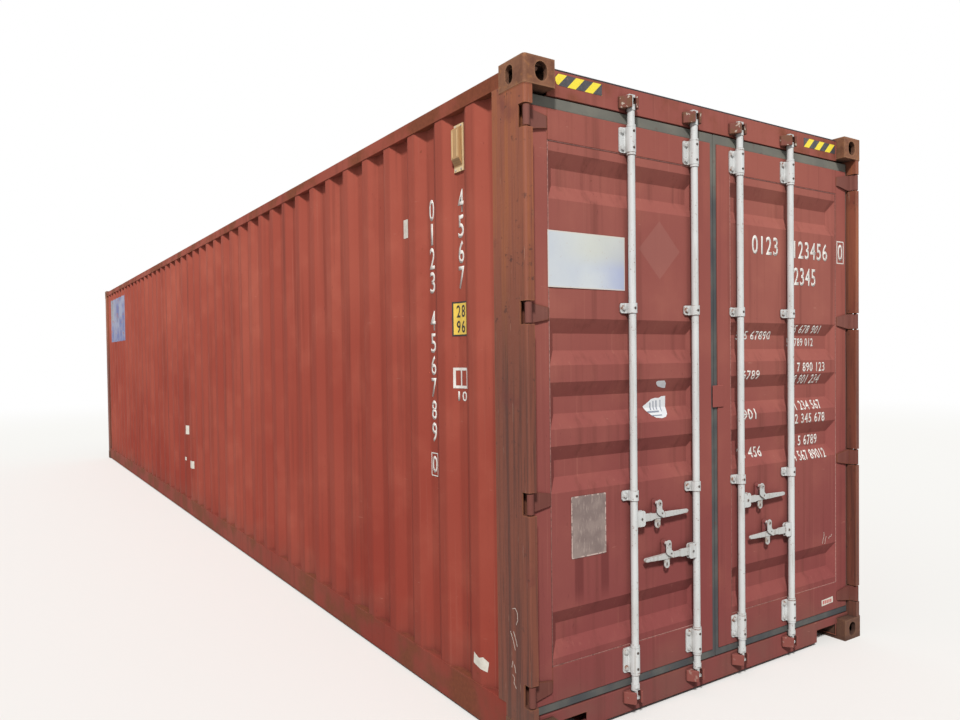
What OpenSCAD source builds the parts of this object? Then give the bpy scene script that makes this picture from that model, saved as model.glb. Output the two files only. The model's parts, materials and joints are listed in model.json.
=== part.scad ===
// Forty foot high cube shipping container, from its corner castings to its lock gear.
// Every piece is drawn looking at the doors: x to the right, y inwards from the door end, z up.
// The module seated() turns that into the part's own frame, with the doors at +X.

/* [Overall] */
// Length over the corner castings
total_l = 12192; // [9125:1:13716]
// Width over the corner castings
total_w = 2438; // [2400:1:2500]
// Height over the corner castings
total_h = 2896; // [2850:1:2950]

/* [Corner castings] */
// Casting size across the container
casting_w = 162; // [160:1:165]
// Casting size along the container
casting_l = 178; // [174:1:180]
// Casting height
casting_h = 118; // [116:1:120]
// Radius of the casting's outer upright edge
casting_r = 14; // [8:1:18]
// Thickness of the plate that a twistlock bears on
casting_plate = 28.5; // [24:0.5:32]
// Thickness of the outer end wall of a casting
casting_end = 24; // [20:1:28]
// Thickness of the outer side wall of a casting
casting_side = 20; // [16:1:24]
// Thickness of the inner walls of a casting
casting_inner = 10; // [8:1:12]
// Length of the twistlock aperture
twist_l = 124.5; // [120:0.5:126]
// Width of the twistlock aperture
twist_w = 63.5; // [60:0.5:66]
// Distance of the twistlock aperture's centre from the end face
twist_y = 103.5; // [100:0.5:106]
// Distance of the twistlock aperture's centre from the side face
twist_x = 89.5; // [86:0.5:92]
// Height of the side and end apertures
lash_h = 79.5; // [76:0.5:82]
// Width of the side aperture
lash_side_w = 51; // [48:1:54]
// Width of the end aperture
lash_end_w = 63.5; // [60:0.5:66]

/* [Posts] */
// Gap between the casting faces and the posts
post_gap = 3; // [2:1:5]
// Thickness of the pressed outer post section
post_t = 6; // [5:1:7]
// Depth of a rear post along the side
post_depth = 235; // [220:1:250]
// Width of a rear post's front face
post_face = 45; // [42:1:48]
// Thickness of the rear post's inner channel
channel_t = 12; // [10:1:13]
// Reach of the flange that the door gasket closes against
seal_flange = 85; // [80:1:92]
// Depth of a front post along the side
front_post_depth = 190; // [184:1:210]
// Width of a front post's front face
front_post_face = 110; // [104:1:118]
// Radius of the rear post's outer edge
post_r = 14; // [10:1:16]

/* [Door end] */
// Depth of the header, sill and door faces behind the casting faces
door_face = 55; // [53:1:56]
// Thickness of the door frame tubes
leaf_t = 50; // [46:1:50]
// Clearance of the door gaskets from the frame and from each other
seal_gap = 5; // [4:1:6]
// Height of the sill's bottom edge
sill_z0 = 18; // [14:1:24]
// Height of the sill's front step
sill_z1 = 134; // [130:1:138]
// Header's bottom edge, below the top of the container
header_low = 128; // [124:1:136]
// Header's top, below the top of the container
header_high = 16; // [12:1:22]
// Plate thickness of the header
header_t = 4; // [3:0.5:5]
// Plate thickness of the sill
sill_t = 6; // [5:0.5:8]
// Inner edge of the sill's corner notches, from the middle
notch_x = 866; // [840:1:880]
// Top of the sill's corner notches
notch_z = 86; // [76:1:90]

/* [Doors] */
// Gap between a leaf's outer edge and the side face of the container
leaf_edge = 62; // [60:1:66]
// Half the gap between the two leaves
leaf_mid = 24; // [22:1:26]
// Height of a leaf's bottom edge
leaf_z0 = 176; // [172:1:180]
// Gap between a leaf's top edge and the header
leaf_top_gap = 52; // [48:1:56]
// Width of the upright tubes of a leaf
stile_w = 100; // [90:1:110]
// Height of the top tube of a leaf
top_tube_h = 135; // [125:1:145]
// Height of the bottom tube of a leaf
bottom_tube_h = 155; // [145:1:160]
// Thickness of the leaf's steel sheet
sheet_t = 2; // [1.5:0.5:3]
// Setback of the sheet behind the tubes
sheet_back = 3; // [2:1:4]
// Depth of the pressed troughs
trough_d = 34; // [28:1:36]
// Height of a trough at the face
trough_h = 206; // [196:1:212]
// Height of a trough's floor
trough_floor = 74; // [68:1:80]
// Length of a trough's sloping ends
trough_end = 45; // [36:1:60]

/* [Hinges] */
// Pin distance from the side face
pin_x = 24; // [22:0.5:25]
// Pin distance from the end face
pin_y = 18; // [17:0.5:19]
// Pin radius
pin_r = 8; // [7:0.5:9]
// Running clearance of the pin in its lugs
pin_fit = 0.05; // [0.02:0.01:0.08]
// Knuckle radius
knuckle_r = 15; // [13:0.5:15]
// Knuckle height
knuckle_h = 86; // [80:1:90]
// Gap between a knuckle and the notch in the post
notch_gap = 5; // [4:1:6]
// Thickness of the lugs above and below a knuckle
lug_t = 10; // [8:1:12]
// Reach of a hinge blade from the side face
blade_reach = 160; // [150:1:190]

/* [Lock gear] */
// Distance of the outer bars from the middle
outer_bar_x = 592; // [580:1:600]
// Distance of the inner bars from the middle
inner_bar_x = 171; // [166:1:180]
// Depth of the bar axis behind the casting faces
bar_y = 30; // [29:0.5:31]
// Radius of a locking bar
bar_r = 17; // [16:0.5:17.5]
// Clearance of a bar in its brackets
bar_fit = 0.1; // [0.05:0.05:0.2]
// Outer radius of the brackets round a bar
bracket_r = 22; // [21:0.5:23]
// Height of the end brackets
end_bracket_h = 114; // [110:1:118]
// Height of the middle brackets
guide_h = 46; // [40:1:52]
// Long radius of the oblong cams
cam_r = 20; // [19:0.5:20.5]
// Half thickness of the oblong cams
cam_half = 12; // [11:0.5:12.5]
// Height of a cam
cam_h = 54; // [50:1:56]
// Height of the cam's upper and lower plates
cam_plate = 12; // [10:1:16]
// Height of a cam keeper
keeper_h = 54; // [44:1:56]
// Clearance between a cam and its keeper
keeper_gap = 2; // [1.5:0.5:2]
// Length of a handle from its bar's axis
handle_l = 358; // [345:1:365]
// Height of a handle beside its pivot
handle_root = 36; // [34:1:38]
// Height of a handle's grip
handle_h = 27; // [25:1:29]
// Height of a handle's tip
handle_tip = 19; // [16:1:22]
// Thickness of a handle
handle_t = 10; // [8:1:10]
// Distance of a handle's pivot from the bar's axis
hub_x = 38; // [36:1:42]
// Radius of a handle's pivot pin
hub_pin_r = 7; // [6:0.5:8]
// Drop of a handle catch from its pivot to its tip
catch_l = 71; // [68:1:72]

/* [Walls, roof and floor] */
// Thickness of the wall sheets
wall_t = 2; // [1.6:0.2:2.4]
// Setback of the side walls' outer flats behind the casting faces
wall_gap = 8; // [7:1:10]
// Depth of the side wall corrugation
wall_d = 36; // [30:1:36]
// Pitch of the side wall corrugation
wall_pitch = 278; // [270:1:290]
// Width of its outer flats
wall_outer = 72; // [68:1:76]
// Length of its slopes
wall_slope = 68; // [64:1:70]
// First outer flat, from the door end
wall_start = 384; // [370:1:390]
// Depth of the front wall corrugation
front_d = 46; // [40:1:48]
// Pitch of the front wall corrugation
front_pitch = 250; // [240:1:256]
// Width of its outer flats
front_outer = 110; // [104:1:114]
// Length of its slopes
front_slope = 18; // [16:1:22]
// Rise of the roof corrugation
roof_rise = 16; // [12:1:17]
// Pitch of the roof corrugation
roof_pitch = 209; // [200:1:220]
// Width of its crests
roof_crest = 91; // [84:1:96]
// Length of its slopes
roof_slope = 13.5; // [12:0.5:16]
// Height of the top side rails
top_rail_h = 66; // [60:1:70]
// Width of the top side rails
top_rail_w = 60; // [56:1:64]
// Wall of the top rails
top_rail_t = 3; // [3:0.5:4]
// Underside of the top side rails, below the top of the container
top_rail_low = 90; // [86:1:94]
// Height of the bottom side rails' underside
bottom_rail_z0 = 12; // [11:1:14]
// Height of the bottom side rails
bottom_rail_h = 162; // [158:1:164]
// Plate thickness of the bottom side rails
bottom_rail_t = 4.5; // [4:0.5:6]
// Width of a bottom side rail's top flange
bottom_rail_top = 48; // [46:1:50]
// Width of a bottom side rail's bottom flange
bottom_rail_foot = 30; // [26:1:34]
// Height of the floor's upper side
floor_z1 = 170; // [168:1:172]
// Thickness of the plywood floor
floor_t = 28; // [27:1:30]
// Spacing of the cross members
cross_pitch = 300; // [280:1:320]
// Width of a cross member's flanges
cross_w = 45; // [40:1:50]
// Height of a cross member
cross_h = 122; // [118:1:124]
// Plate thickness of the cross members
cross_t = 4; // [3.5:0.5:5]
// Length of the gooseneck tunnel from the front face
tunnel_l = 3315; // [3250:1:3400]
// Clear width of the gooseneck tunnel
tunnel_w = 1029; // [1020:1:1040]
// Depth of the front rails
front_rail_d = 80; // [70:1:90]
// Setback of the front rails
front_rail_y = 20; // [16:1:24]
// Underside of the front top rail, below the top of the container
front_rail_low = 126; // [122:1:130]

/* [Hidden] */
$fn = 48;

half_w = total_w / 2;
casting_x = half_w - casting_w;
top_z = total_h - casting_h;
cut = 1;

// Colours of the real thing
oxide = [0.49, 0.20, 0.17];
post_brown = [0.42, 0.24, 0.17];
casting_brown = [0.36, 0.22, 0.16];
bar_grey = [0.74, 0.76, 0.76];
gear_grey = [0.68, 0.68, 0.66];
rubber_dark = [0.16, 0.17, 0.16];
wood_brown = [0.50, 0.36, 0.22];

// Heights that follow from the values above
header_z0 = total_h - header_low;
header_z1 = total_h - header_high;
leaf_z1 = header_z0 - leaf_top_gap;
leaf_mid_z = (leaf_z0 + leaf_z1) / 2;
top_rail_z0 = total_h - top_rail_low;
wall_z0 = bottom_rail_z0 + bottom_rail_h;
wall_z1 = top_rail_z0;
roof_z = top_rail_z0 + top_rail_h;
floor_z0 = floor_z1 - floor_t;
panel_z0 = leaf_z0 + bottom_tube_h;
panel_z1 = leaf_z1 - top_tube_h;
leaf_back = door_face + leaf_t;
seal_y = leaf_back + seal_gap + 2;
sheet_y = door_face + sheet_back;
hinge_z = [leaf_z0 + 75, leaf_z0 + 879, leaf_z1 - 869, leaf_z1 - 65];
trough_z = [leaf_z0 + 289, leaf_mid_z - 269, leaf_mid_z + 6, leaf_mid_z + 281, leaf_z1 - 279];
guide_z = [leaf_z0 + 848, leaf_z1 - 836];
end_bracket_z = [leaf_z0 + 89, leaf_z1 - 76];
keeper_z = [sill_z1 - 38, header_z0 + 38];
cam_z = [sill_z1 - 23, header_z0 + 47];
sill_back = 165;
header_back = 185;
front_wall_y = 22;
front_z0 = wall_z0;
front_z1 = total_h - front_rail_low;
tunnel_t = 4;
wall_inner = wall_pitch - wall_outer - 2 * wall_slope;

// Lock gear: bar position, direction of its handle, heights of hub and retainer
bar_x = [-outer_bar_x, -inner_bar_x, inner_bar_x, outer_bar_x];
handle_dir = [1, -1, 1, -1];
hub_z = [912, 713, 912, 713];
retainer_off = [152, 208, 152, 208];
retainer_w = 30;
retainer_t = 8;
retainer_end = 12;
hub_h = 72;
ear_t = 5.7;
ear_gap = 0.3;
handle_y = bar_y - 6;
shelf_gap = 0.5;
shelf_t = 6;
ring_y = handle_y + 3;
ring_t = 6;
ring_w = 34;
ring_h = 44;
ring_hole = 10;
catch_t = 4;
catch_y = handle_y - 9;
catch_pin_r = 5;
catch_up = 60;
boss_r = 9;
catch_fit = 0.3;

// Placing helpers
module seated() translate([total_l / 2, 0, 0]) rotate([0, 0, 90]) children();
module along_x(x0, x1) translate([x0, 0, 0]) rotate([90, 0, 90]) linear_extrude(x1 - x0) children();
module along_y(y0, y1) translate([0, y1, 0]) rotate([90, 0, 0]) linear_extrude(y1 - y0) children();
module along_z(z0, z1) translate([0, 0, z0]) linear_extrude(z1 - z0) children();
module both_sides() {
    children();
    mirror([1, 0, 0]) children();
}
module from_front() translate([0, total_l, 0]) mirror([0, 1, 0]) children();
module left_side() translate([-half_w, 0, 0]) children();
module slot_2d(l, w) {
    square([l - w, w], center = true);
    for (s = [-1, 1]) translate([s * (l - w) / 2, 0]) circle(d = w);
}
module round_off(r) difference() {
    translate([-cut, -cut]) square(r + cut);
    translate([r, r]) circle(r);
}

// Corner castings
module casting() difference() {
    along_z(0, casting_h) difference() {
        square([casting_w, casting_l]);
        round_off(casting_r);
    }
    translate([casting_side, casting_end, casting_plate])
        cube([casting_w - casting_side - casting_inner, casting_l - casting_end - casting_inner,
              casting_h - casting_plate - casting_inner]);
    along_z(-cut, casting_plate + cut) translate([twist_x, twist_y]) rotate(90) slot_2d(twist_l, twist_w);
    along_x(-cut, casting_side + cut) translate([twist_y, casting_h / 2]) rotate(90)
        slot_2d(lash_h, lash_side_w);
    along_y(-cut, casting_end + cut) translate([twist_x, casting_h / 2]) rotate(90)
        slot_2d(lash_h, lash_end_w);
}
module two_castings() both_sides() left_side() casting();
module upside_down() translate([0, 0, total_h]) mirror([0, 0, 1]) children();
module bottom_corner_castings() color(casting_brown) seated() {
    two_castings();
    from_front() two_castings();
}
module top_door_end_castings() color(casting_brown) seated() upside_down() two_castings();
module top_front_end_castings() color(casting_brown) seated() upside_down() from_front()
    two_castings();

// Rear posts
module rear_post_plan() difference() {
    union() {
        translate([post_gap, post_gap]) square([post_t, post_depth - post_gap]);
        translate([post_gap, post_gap]) square(post_r);
        translate([post_gap, post_gap]) square([post_face - post_gap, channel_t]);
        translate([post_face - channel_t, post_gap]) square([channel_t, seal_y + channel_t - post_gap]);
        translate([post_face - channel_t, seal_y]) square([seal_flange - post_face + channel_t, channel_t]);
        translate([post_face - post_t, seal_y]) square([post_t, post_depth - seal_y]);
        translate([post_gap, post_depth - post_t])
            square([wall_gap + wall_d + 2 * wall_t - post_gap, post_t]);
    }
    translate([post_gap, post_gap]) round_off(post_r);
}
module post_split(depth) {
    along_z(casting_h, top_z) intersection() {
        children();
        square([half_w, casting_l]);
    }
    along_z(wall_z0, wall_z1) intersection() {
        children();
        translate([0, casting_l]) square([half_w, depth - casting_l]);
    }
}
module hinge_notch(z) {
    h = knuckle_h + 2 * notch_gap;
    side_reach = pin_y + 28;
    translate([-cut, -cut, z - h / 2]) cube([post_face + 2 * cut, side_reach + cut, h]);
    translate([post_face - channel_t - cut, -cut, z - h / 2])
        cube([channel_t + 2 * cut, door_face + 7 + cut, h]);
}
module hinge_lugs(z) for (s = [-1, 1])
    translate([post_gap + post_t, post_gap + channel_t,
               z + s * (knuckle_h / 2 + notch_gap + lug_t / 2) - lug_t / 2])
        cube([post_face - channel_t - post_gap - post_t, door_face - channel_t, lug_t]);
module rear_post() left_side() difference() {
    union() {
        difference() {
            post_split(post_depth) rear_post_plan();
            for (z = hinge_z) hinge_notch(z);
        }
        for (z = hinge_z) hinge_lugs(z);
    }
    for (z = hinge_z) translate([pin_x, pin_y, z]) cylinder(r = pin_r + pin_fit,
        h = knuckle_h + 2 * notch_gap + 2 * lug_t + 2 * cut, center = true);
}
module rear_post_left() color(post_brown) seated() rear_post();
module rear_post_right() color(post_brown) seated() mirror([1, 0, 0]) rear_post();

// Front posts
module front_post_plan() difference() {
    union() {
        translate([post_gap, post_gap]) square([post_t, front_post_depth - post_gap]);
        translate([post_gap, post_gap]) square([front_post_face - post_gap, post_t]);
        translate([post_gap, post_gap]) square(post_r);
        translate([front_post_face - post_t, post_gap]) square([post_t, front_rail_y + front_d + 10]);
        translate([post_gap, front_post_depth - post_t])
            square([wall_gap + wall_d + 2 * wall_t - post_gap, post_t]);
    }
    translate([post_gap, post_gap]) round_off(post_r);
}
module front_corner_posts() color(post_brown) seated() both_sides() from_front() left_side()
    post_split(front_post_depth) front_post_plan();

// Door header with its sealing lip
module header_box() difference() {
    translate([door_face, header_z0]) square([header_back - door_face, header_z1 - header_z0]);
    translate([door_face + header_t, header_z0 + header_t])
        square([header_back - door_face - 2 * header_t, header_z1 - header_z0 - 2 * header_t]);
}
lip_z0 = leaf_z1 + 6;
lip_plate = 6;
module door_header() color(oxide) seated() {
    along_x(-casting_x, casting_x) header_box();
    along_x(-casting_x, casting_x) translate([seal_y, lip_z0])
        square([lip_plate, header_z0 - lip_z0]);
    both_sides() along_x(casting_x, half_w - seal_flange) translate([seal_y, lip_z0])
        square([lip_plate, top_z - lip_z0]);
}

// Door sill with the threshold step behind the leaves
module sill_profile(t) polygon([
    [door_face + t, sill_z0 + t], [door_face + t, sill_z1 - t], [seal_y + t, sill_z1 - t],
    [seal_y + t, floor_z1 - t], [sill_back - t, floor_z1 - t], [sill_back - t, sill_z0 + t]]);
module door_sill() color(oxide) seated() {
    difference() {
        along_x(-casting_x, casting_x) difference() {
            sill_profile(0);
            sill_profile(sill_t);
        }
        both_sides() translate([notch_x, door_face - cut, sill_z0 - cut])
            cube([casting_x - notch_x - sill_t, sill_back - door_face - sill_t + cut,
                  notch_z - sill_z0 + cut]);
    }
    both_sides() {
        translate([casting_x, door_face, casting_h])
            cube([half_w - post_face - casting_x, seal_y - door_face, sill_z1 - casting_h]);
        translate([casting_x, seal_y, casting_h])
            cube([half_w - seal_flange - casting_x, sill_back - seal_y, floor_z1 - casting_h]);
    }
}

// Rails
module tube_2d(w, h, t) difference() {
    square([w, h]);
    translate([t, t]) square([w - 2 * t, h - 2 * t]);
}
module top_side_rails() color(oxide) seated() both_sides() left_side()
    along_y(casting_l, total_l - casting_l) translate([post_gap + 1, top_rail_z0])
        tube_2d(top_rail_w, top_rail_h, top_rail_t);
module bottom_side_rails() color(oxide) seated() both_sides() left_side()
    along_y(casting_l, total_l - casting_l) translate([post_t, bottom_rail_z0]) {
        square([bottom_rail_t, bottom_rail_h]);
        square([bottom_rail_foot, bottom_rail_t]);
        translate([0, bottom_rail_h - bottom_rail_t]) square([bottom_rail_top, bottom_rail_t]);
    }
module front_top_rail() color(oxide) seated() from_front() {
    along_x(-casting_x, casting_x) translate([front_rail_y, front_z1])
        tube_2d(front_rail_d, roof_z + 4 - front_z1, top_rail_t);
    both_sides() translate([casting_x, front_rail_y, front_z1])
        cube([casting_w - front_post_face, front_rail_d, top_z - front_z1]);
}
module front_bottom_rail() color(oxide) seated() from_front() difference() {
    union() {
        along_x(-casting_x, casting_x) translate([front_rail_y, bottom_rail_z0])
            tube_2d(front_rail_d, front_z0 - bottom_rail_z0, bottom_rail_t);
        both_sides() translate([casting_x, front_rail_y, casting_h])
            cube([casting_w - front_post_face, front_rail_d, front_z0 - casting_h]);
    }
    translate([-tunnel_w / 2, 0, 0]) cube([tunnel_w, 2 * front_rail_d, floor_z0 - tunnel_t]);
}

// Corrugated walls, drawn as a band between an outer line and the same line moved in
function wave(start, pitch, outer, slope, depth, count) = [for (k = [0:count - 1])
    each [[start + k * pitch - slope, depth], [start + k * pitch, 0],
          [start + k * pitch + outer, 0], [start + k * pitch + outer + slope, depth]]];
function reversed(line) = [for (i = [len(line) - 1:-1:0]) line[i]];
function moved_in(line, t) = [for (p = line) [p[0], p[1] + t]];
module band(line, t) polygon(concat(line, reversed(moved_in(line, t))));

wall_end = total_l - front_post_depth;
wall_count = floor((wall_end - wall_start - wall_outer - wall_slope) / wall_pitch) + 1;
module side_wall() left_side() along_z(wall_z0, wall_z1) translate([wall_gap, 0])
    mirror([1, -1]) band(concat([[post_depth, wall_d]],
        wave(wall_start, wall_pitch, wall_outer, wall_slope, wall_d, wall_count),
        [[wall_end, wall_d]]), wall_t);
module side_wall_left() color(oxide) seated() side_wall();
module side_wall_right() color(oxide) seated() mirror([1, 0, 0]) side_wall();

front_half = half_w - front_post_face;
front_count = floor((2 * front_half - front_outer - 2 * front_slope) / front_pitch) + 1;
front_start = -((front_count - 1) * front_pitch + front_outer) / 2;
module front_wall() color(oxide) seated() from_front() along_z(front_z0, front_z1)
    translate([0, front_wall_y]) band(concat([[-front_half, front_d]],
        wave(front_start, front_pitch, front_outer, front_slope, front_d, front_count),
        [[front_half, front_d]]), wall_t);

// Roof sheet with pressed crests
roof_edge = 14;
roof_margin = 84;
crest_fade = 25;
roof_y0 = header_back;
roof_y1 = total_l - front_rail_y - front_rail_d;
roof_count = floor((roof_y1 - roof_y0 - 2 * roof_slope - roof_crest - 60) / roof_pitch) + 1;
roof_start = (roof_y0 + roof_y1 - (roof_count - 1) * roof_pitch - roof_crest) / 2;
module crest_block(t) {
    top = roof_z + roof_rise + wall_t - t;
    low = roof_z - t;
    intersection() {
        along_x(-half_w, half_w) for (k = [0:roof_count - 1]) translate([roof_start + k * roof_pitch, 0])
            polygon([[-roof_slope, low], [0, top], [roof_crest, top], [roof_crest + roof_slope, low]]);
        along_y(0, total_l) polygon([[-half_w + roof_margin, low],
            [-half_w + roof_margin + crest_fade, top], [half_w - roof_margin - crest_fade, top],
            [half_w - roof_margin, low]]);
    }
}
module roof_panel() color(oxide) seated() difference() {
    union() {
        translate([-half_w + roof_edge, roof_y0, roof_z])
            cube([2 * (half_w - roof_edge), roof_y1 - roof_y0, wall_t]);
        crest_block(0);
    }
    crest_block(wall_t);
    both_sides() translate([casting_x, total_l - casting_l, roof_z - cut])
        cube([casting_w, casting_l, roof_rise + wall_t + 2 * cut]);
}

// Floor and underframe
floor_half = half_w - post_t - bottom_rail_top - 4;
floor_y1 = total_l - front_rail_y - front_rail_d;
module plywood_floor() color(wood_brown) seated()
    translate([-floor_half, sill_back, floor_z0]) cube([2 * floor_half, floor_y1 - sill_back, floor_t]);
module cross_section() {
    square([cross_t, cross_h]);
    square([cross_w, cross_t]);
    translate([0, cross_h - cross_t]) square([cross_w, cross_t]);
}
tunnel_y0 = total_l - tunnel_l;
cross_start = sill_back + 155;
cross_half = half_w - post_t - bottom_rail_t;
tunnel_half = tunnel_w / 2 + tunnel_t;
long_count = floor((tunnel_y0 - cross_w - cross_start) / cross_pitch) + 1;
short_y0 = cross_start + long_count * cross_pitch;
short_count = floor((total_l - casting_l - cross_w - short_y0) / cross_pitch) + 1;
module cross_members() color(oxide) seated() {
    for (k = [0:long_count - 1]) along_x(-cross_half, cross_half)
        translate([cross_start + k * cross_pitch, floor_z0 - cross_h]) cross_section();
    both_sides() for (k = [0:short_count - 1]) along_x(tunnel_half, cross_half)
        translate([short_y0 + k * cross_pitch, floor_z0 - cross_h]) cross_section();
}
module gooseneck_tunnel() color(oxide) seated() along_y(tunnel_y0, floor_y1) difference() {
    translate([-tunnel_half, bottom_rail_z0]) square([2 * tunnel_half, floor_z0 - bottom_rail_z0]);
    translate([-tunnel_w / 2, 0]) square([tunnel_w, floor_z0 - tunnel_t]);
}

// Ventilators in the second recess from the doors
vent_w = 66;
vent_flange_w = 80;
vent_h = 220;
vent_z = total_h - 249;
vent_d = 30;
vent_foot = 9;
vent_pad = 3;
vent_rib = 2;
vent_rib_w = 5;
vent_rib_y = 21;
vent_hood_z0 = -vent_h * 0.42;
vent_hood_z1 = vent_h * 0.42;
vent_blades = 4;
vent_blade_h = 10;
vent_blade_step = 4;
vent_y = wall_start + wall_outer + wall_slope + wall_inner / 2;
vent_slope_x = (vent_d - vent_foot) / vent_blades;
module vent_profile() polygon(concat([[-vent_foot, vent_hood_z0]],
    [for (n = [1:vent_blades]) for (step = n < vent_blades ? [0, vent_blade_step] : [0])
        [-vent_foot - n * vent_slope_x + step, vent_hood_z0 + n * vent_blade_h]],
    [[-vent_d, vent_hood_z1 - 8], [-vent_d + 8, vent_hood_z1], [-vent_foot, vent_hood_z1]]));
module ventilator() left_side() translate([wall_gap + wall_d, vent_y, vent_z]) {
    translate([-vent_foot, -vent_w / 2, -vent_h / 2])
        cube([vent_foot, vent_w, vent_h]);
    translate([-vent_foot, -vent_flange_w / 2, -vent_h / 2])
        cube([vent_foot - vent_pad, vent_flange_w, vent_h]);
    along_y(-vent_w / 2, vent_w / 2) vent_profile();
    for (s = [-1, 1]) translate([-vent_d - vent_rib, s * vent_rib_y - vent_rib_w / 2,
        vent_hood_z0 + vent_blades * vent_blade_h + 6])
        cube([vent_rib + 1, vent_rib_w, vent_hood_z1 - vent_hood_z0 - vent_blades * vent_blade_h - 20]);
}
module ventilators() color("tan") seated() both_sides() ventilator();

// Cam keepers, each a block with a round pocket and an open mouth
keeper_left = 56;
keeper_right = 33;
keeper_front = 4;
module keeper_plan() difference() {
    polygon([[-keeper_left, door_face], [-keeper_left, door_face - 11], [-36, keeper_front + 16],
        [-26, keeper_front], [keeper_right - 9, keeper_front], [keeper_right, keeper_front + 9],
        [keeper_right, door_face]]);
    translate([0, bar_y]) circle(cam_r + keeper_gap);
    translate([-cam_half - keeper_gap, 0]) square([2 * (cam_half + keeper_gap), bar_y]);
}
module cam_keepers() color(post_brown) seated() for (x = bar_x) for (z = keeper_z)
    translate([x, 0, z - keeper_h / 2]) linear_extrude(keeper_h) keeper_plan();

// Door leaf, drawn for the left side
leaf_x0 = -half_w + leaf_edge;
leaf_x1 = -leaf_mid;
panel_x0 = leaf_x0 + stile_w;
panel_x1 = leaf_x1 - stile_w;
module leaf_frame() along_y(door_face, leaf_back) difference() {
    translate([leaf_x0, leaf_z0]) square([leaf_x1 - leaf_x0, leaf_z1 - leaf_z0]);
    translate([panel_x0, panel_z0]) square([panel_x1 - panel_x0, panel_z1 - panel_z0]);
}
module trough(z, t) intersection() {
    along_x(panel_x0, panel_x1) polygon([
        [sheet_y - cut + t, z - trough_h / 2 - t], [sheet_y - cut + t, z + trough_h / 2 + t],
        [sheet_y + trough_d + t, z + trough_floor / 2 + t],
        [sheet_y + trough_d + t, z - trough_floor / 2 - t]]);
    along_z(z - trough_h, z + trough_h) polygon([
        [panel_x0 + sheet_t - t, sheet_y - cut + t], [panel_x1 - sheet_t + t, sheet_y - cut + t],
        [panel_x1 - sheet_t - trough_end + t, sheet_y + trough_d + t],
        [panel_x0 + sheet_t + trough_end - t, sheet_y + trough_d + t]]);
}
module leaf_panel() difference() {
    union() {
        translate([panel_x0, sheet_y, panel_z0])
            cube([panel_x1 - panel_x0, sheet_t, panel_z1 - panel_z0]);
        for (z = trough_z) trough(z, sheet_t);
    }
    for (z = trough_z) trough(z, 0);
}
gasket_y0 = door_face + 5;
gasket_y1 = seal_y - seal_gap;
gasket_lip = 10;
gasket_groove = 5;
gasket_top = header_z0 - seal_gap;
gasket_low = sill_z1 + seal_gap;
gasket_x0 = -half_w + post_face + seal_gap;
gasket_x1 = -seal_gap / 2;
module gasket_ring(inset) difference() {
    translate([gasket_x0 + inset, gasket_low + inset])
        square([gasket_x1 - gasket_x0 - 2 * inset, gasket_top - gasket_low - 2 * inset]);
    translate([leaf_x0, leaf_z0]) square([leaf_x1 - leaf_x0, leaf_z1 - leaf_z0]);
}
module leaf_gasket() {
    along_y(gasket_y0, gasket_y0 + gasket_lip) gasket_ring(0);
    along_y(gasket_y0 + gasket_lip, gasket_y1 - gasket_lip) gasket_ring(gasket_groove);
    along_y(gasket_y1 - gasket_lip, gasket_y1) gasket_ring(0);
}

// Hinge: knuckle and pin at the post, forged blade on the leaf's face
blade_neck = 26;
module blade_plan() polygon([
    [pin_x + knuckle_r - 1, pin_y - 5], [pin_x + 22, pin_y + blade_neck],
    [blade_reach - 14, pin_y + blade_neck + 2], [blade_reach, door_face - 3],
    [blade_reach, door_face], [pin_x + 28, door_face], [pin_x + 4, pin_y + knuckle_r - 1]]);
module blade_side() polygon([
    [pin_x, -knuckle_h / 2], [leaf_edge - 8, -knuckle_h / 2], [blade_reach, -knuckle_h * 0.29],
    [blade_reach, knuckle_h * 0.29], [leaf_edge - 8, knuckle_h / 2], [pin_x, knuckle_h / 2]]);
module hinge() left_side() {
    translate([pin_x, pin_y, 0]) {
        cylinder(r = knuckle_r, h = knuckle_h, center = true);
        cylinder(r = pin_r, h = knuckle_h + 2 * (notch_gap + lug_t), center = true);
    }
    intersection() {
        along_z(-knuckle_h / 2, knuckle_h / 2) blade_plan();
        along_y(0, door_face) blade_side();
    }
}
module leaf_hinges() for (z = hinge_z) translate([0, 0, z]) hinge();

// Bar brackets: a saddle round the bar with a bolting flange
flange_w = 33;
flange_t = 6;
flange_r = 10;
module bracket_plan() difference() {
    union() {
        translate([0, bar_y]) circle(bracket_r);
        translate([-bracket_r, bar_y]) square([2 * bracket_r, door_face - bar_y]);
        translate([-bracket_r - flange_w, door_face - flange_t])
            square([2 * bracket_r + flange_w, flange_t]);
        translate([-bracket_r - 6, door_face - flange_t - 6]) difference() {
            square([8, 8]);
            circle(6);
        }
    }
    translate([0, bar_y]) circle(bar_r + bar_fit);
}
module bracket(h) intersection() {
    along_z(-h / 2, h / 2) bracket_plan();
    along_y(0, door_face) {
        translate([-bracket_r - flange_w + flange_r, -h / 2])
            square([2 * bracket_r + flange_w - flange_r + cut, h]);
        translate([-bracket_r - flange_w, -h / 2 + flange_r]) square([flange_w, h - 2 * flange_r]);
        for (s = [-1, 1]) translate([-bracket_r - flange_w + flange_r, s * (h / 2 - flange_r)])
            circle(flange_r);
    }
}
module bar_brackets(bars) for (i = bars) translate([bar_x[i], 0, 0]) {
    for (z = end_bracket_z) translate([0, 0, z]) bracket(end_bracket_h);
    for (z = guide_z) translate([0, 0, z]) bracket(guide_h);
}

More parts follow.
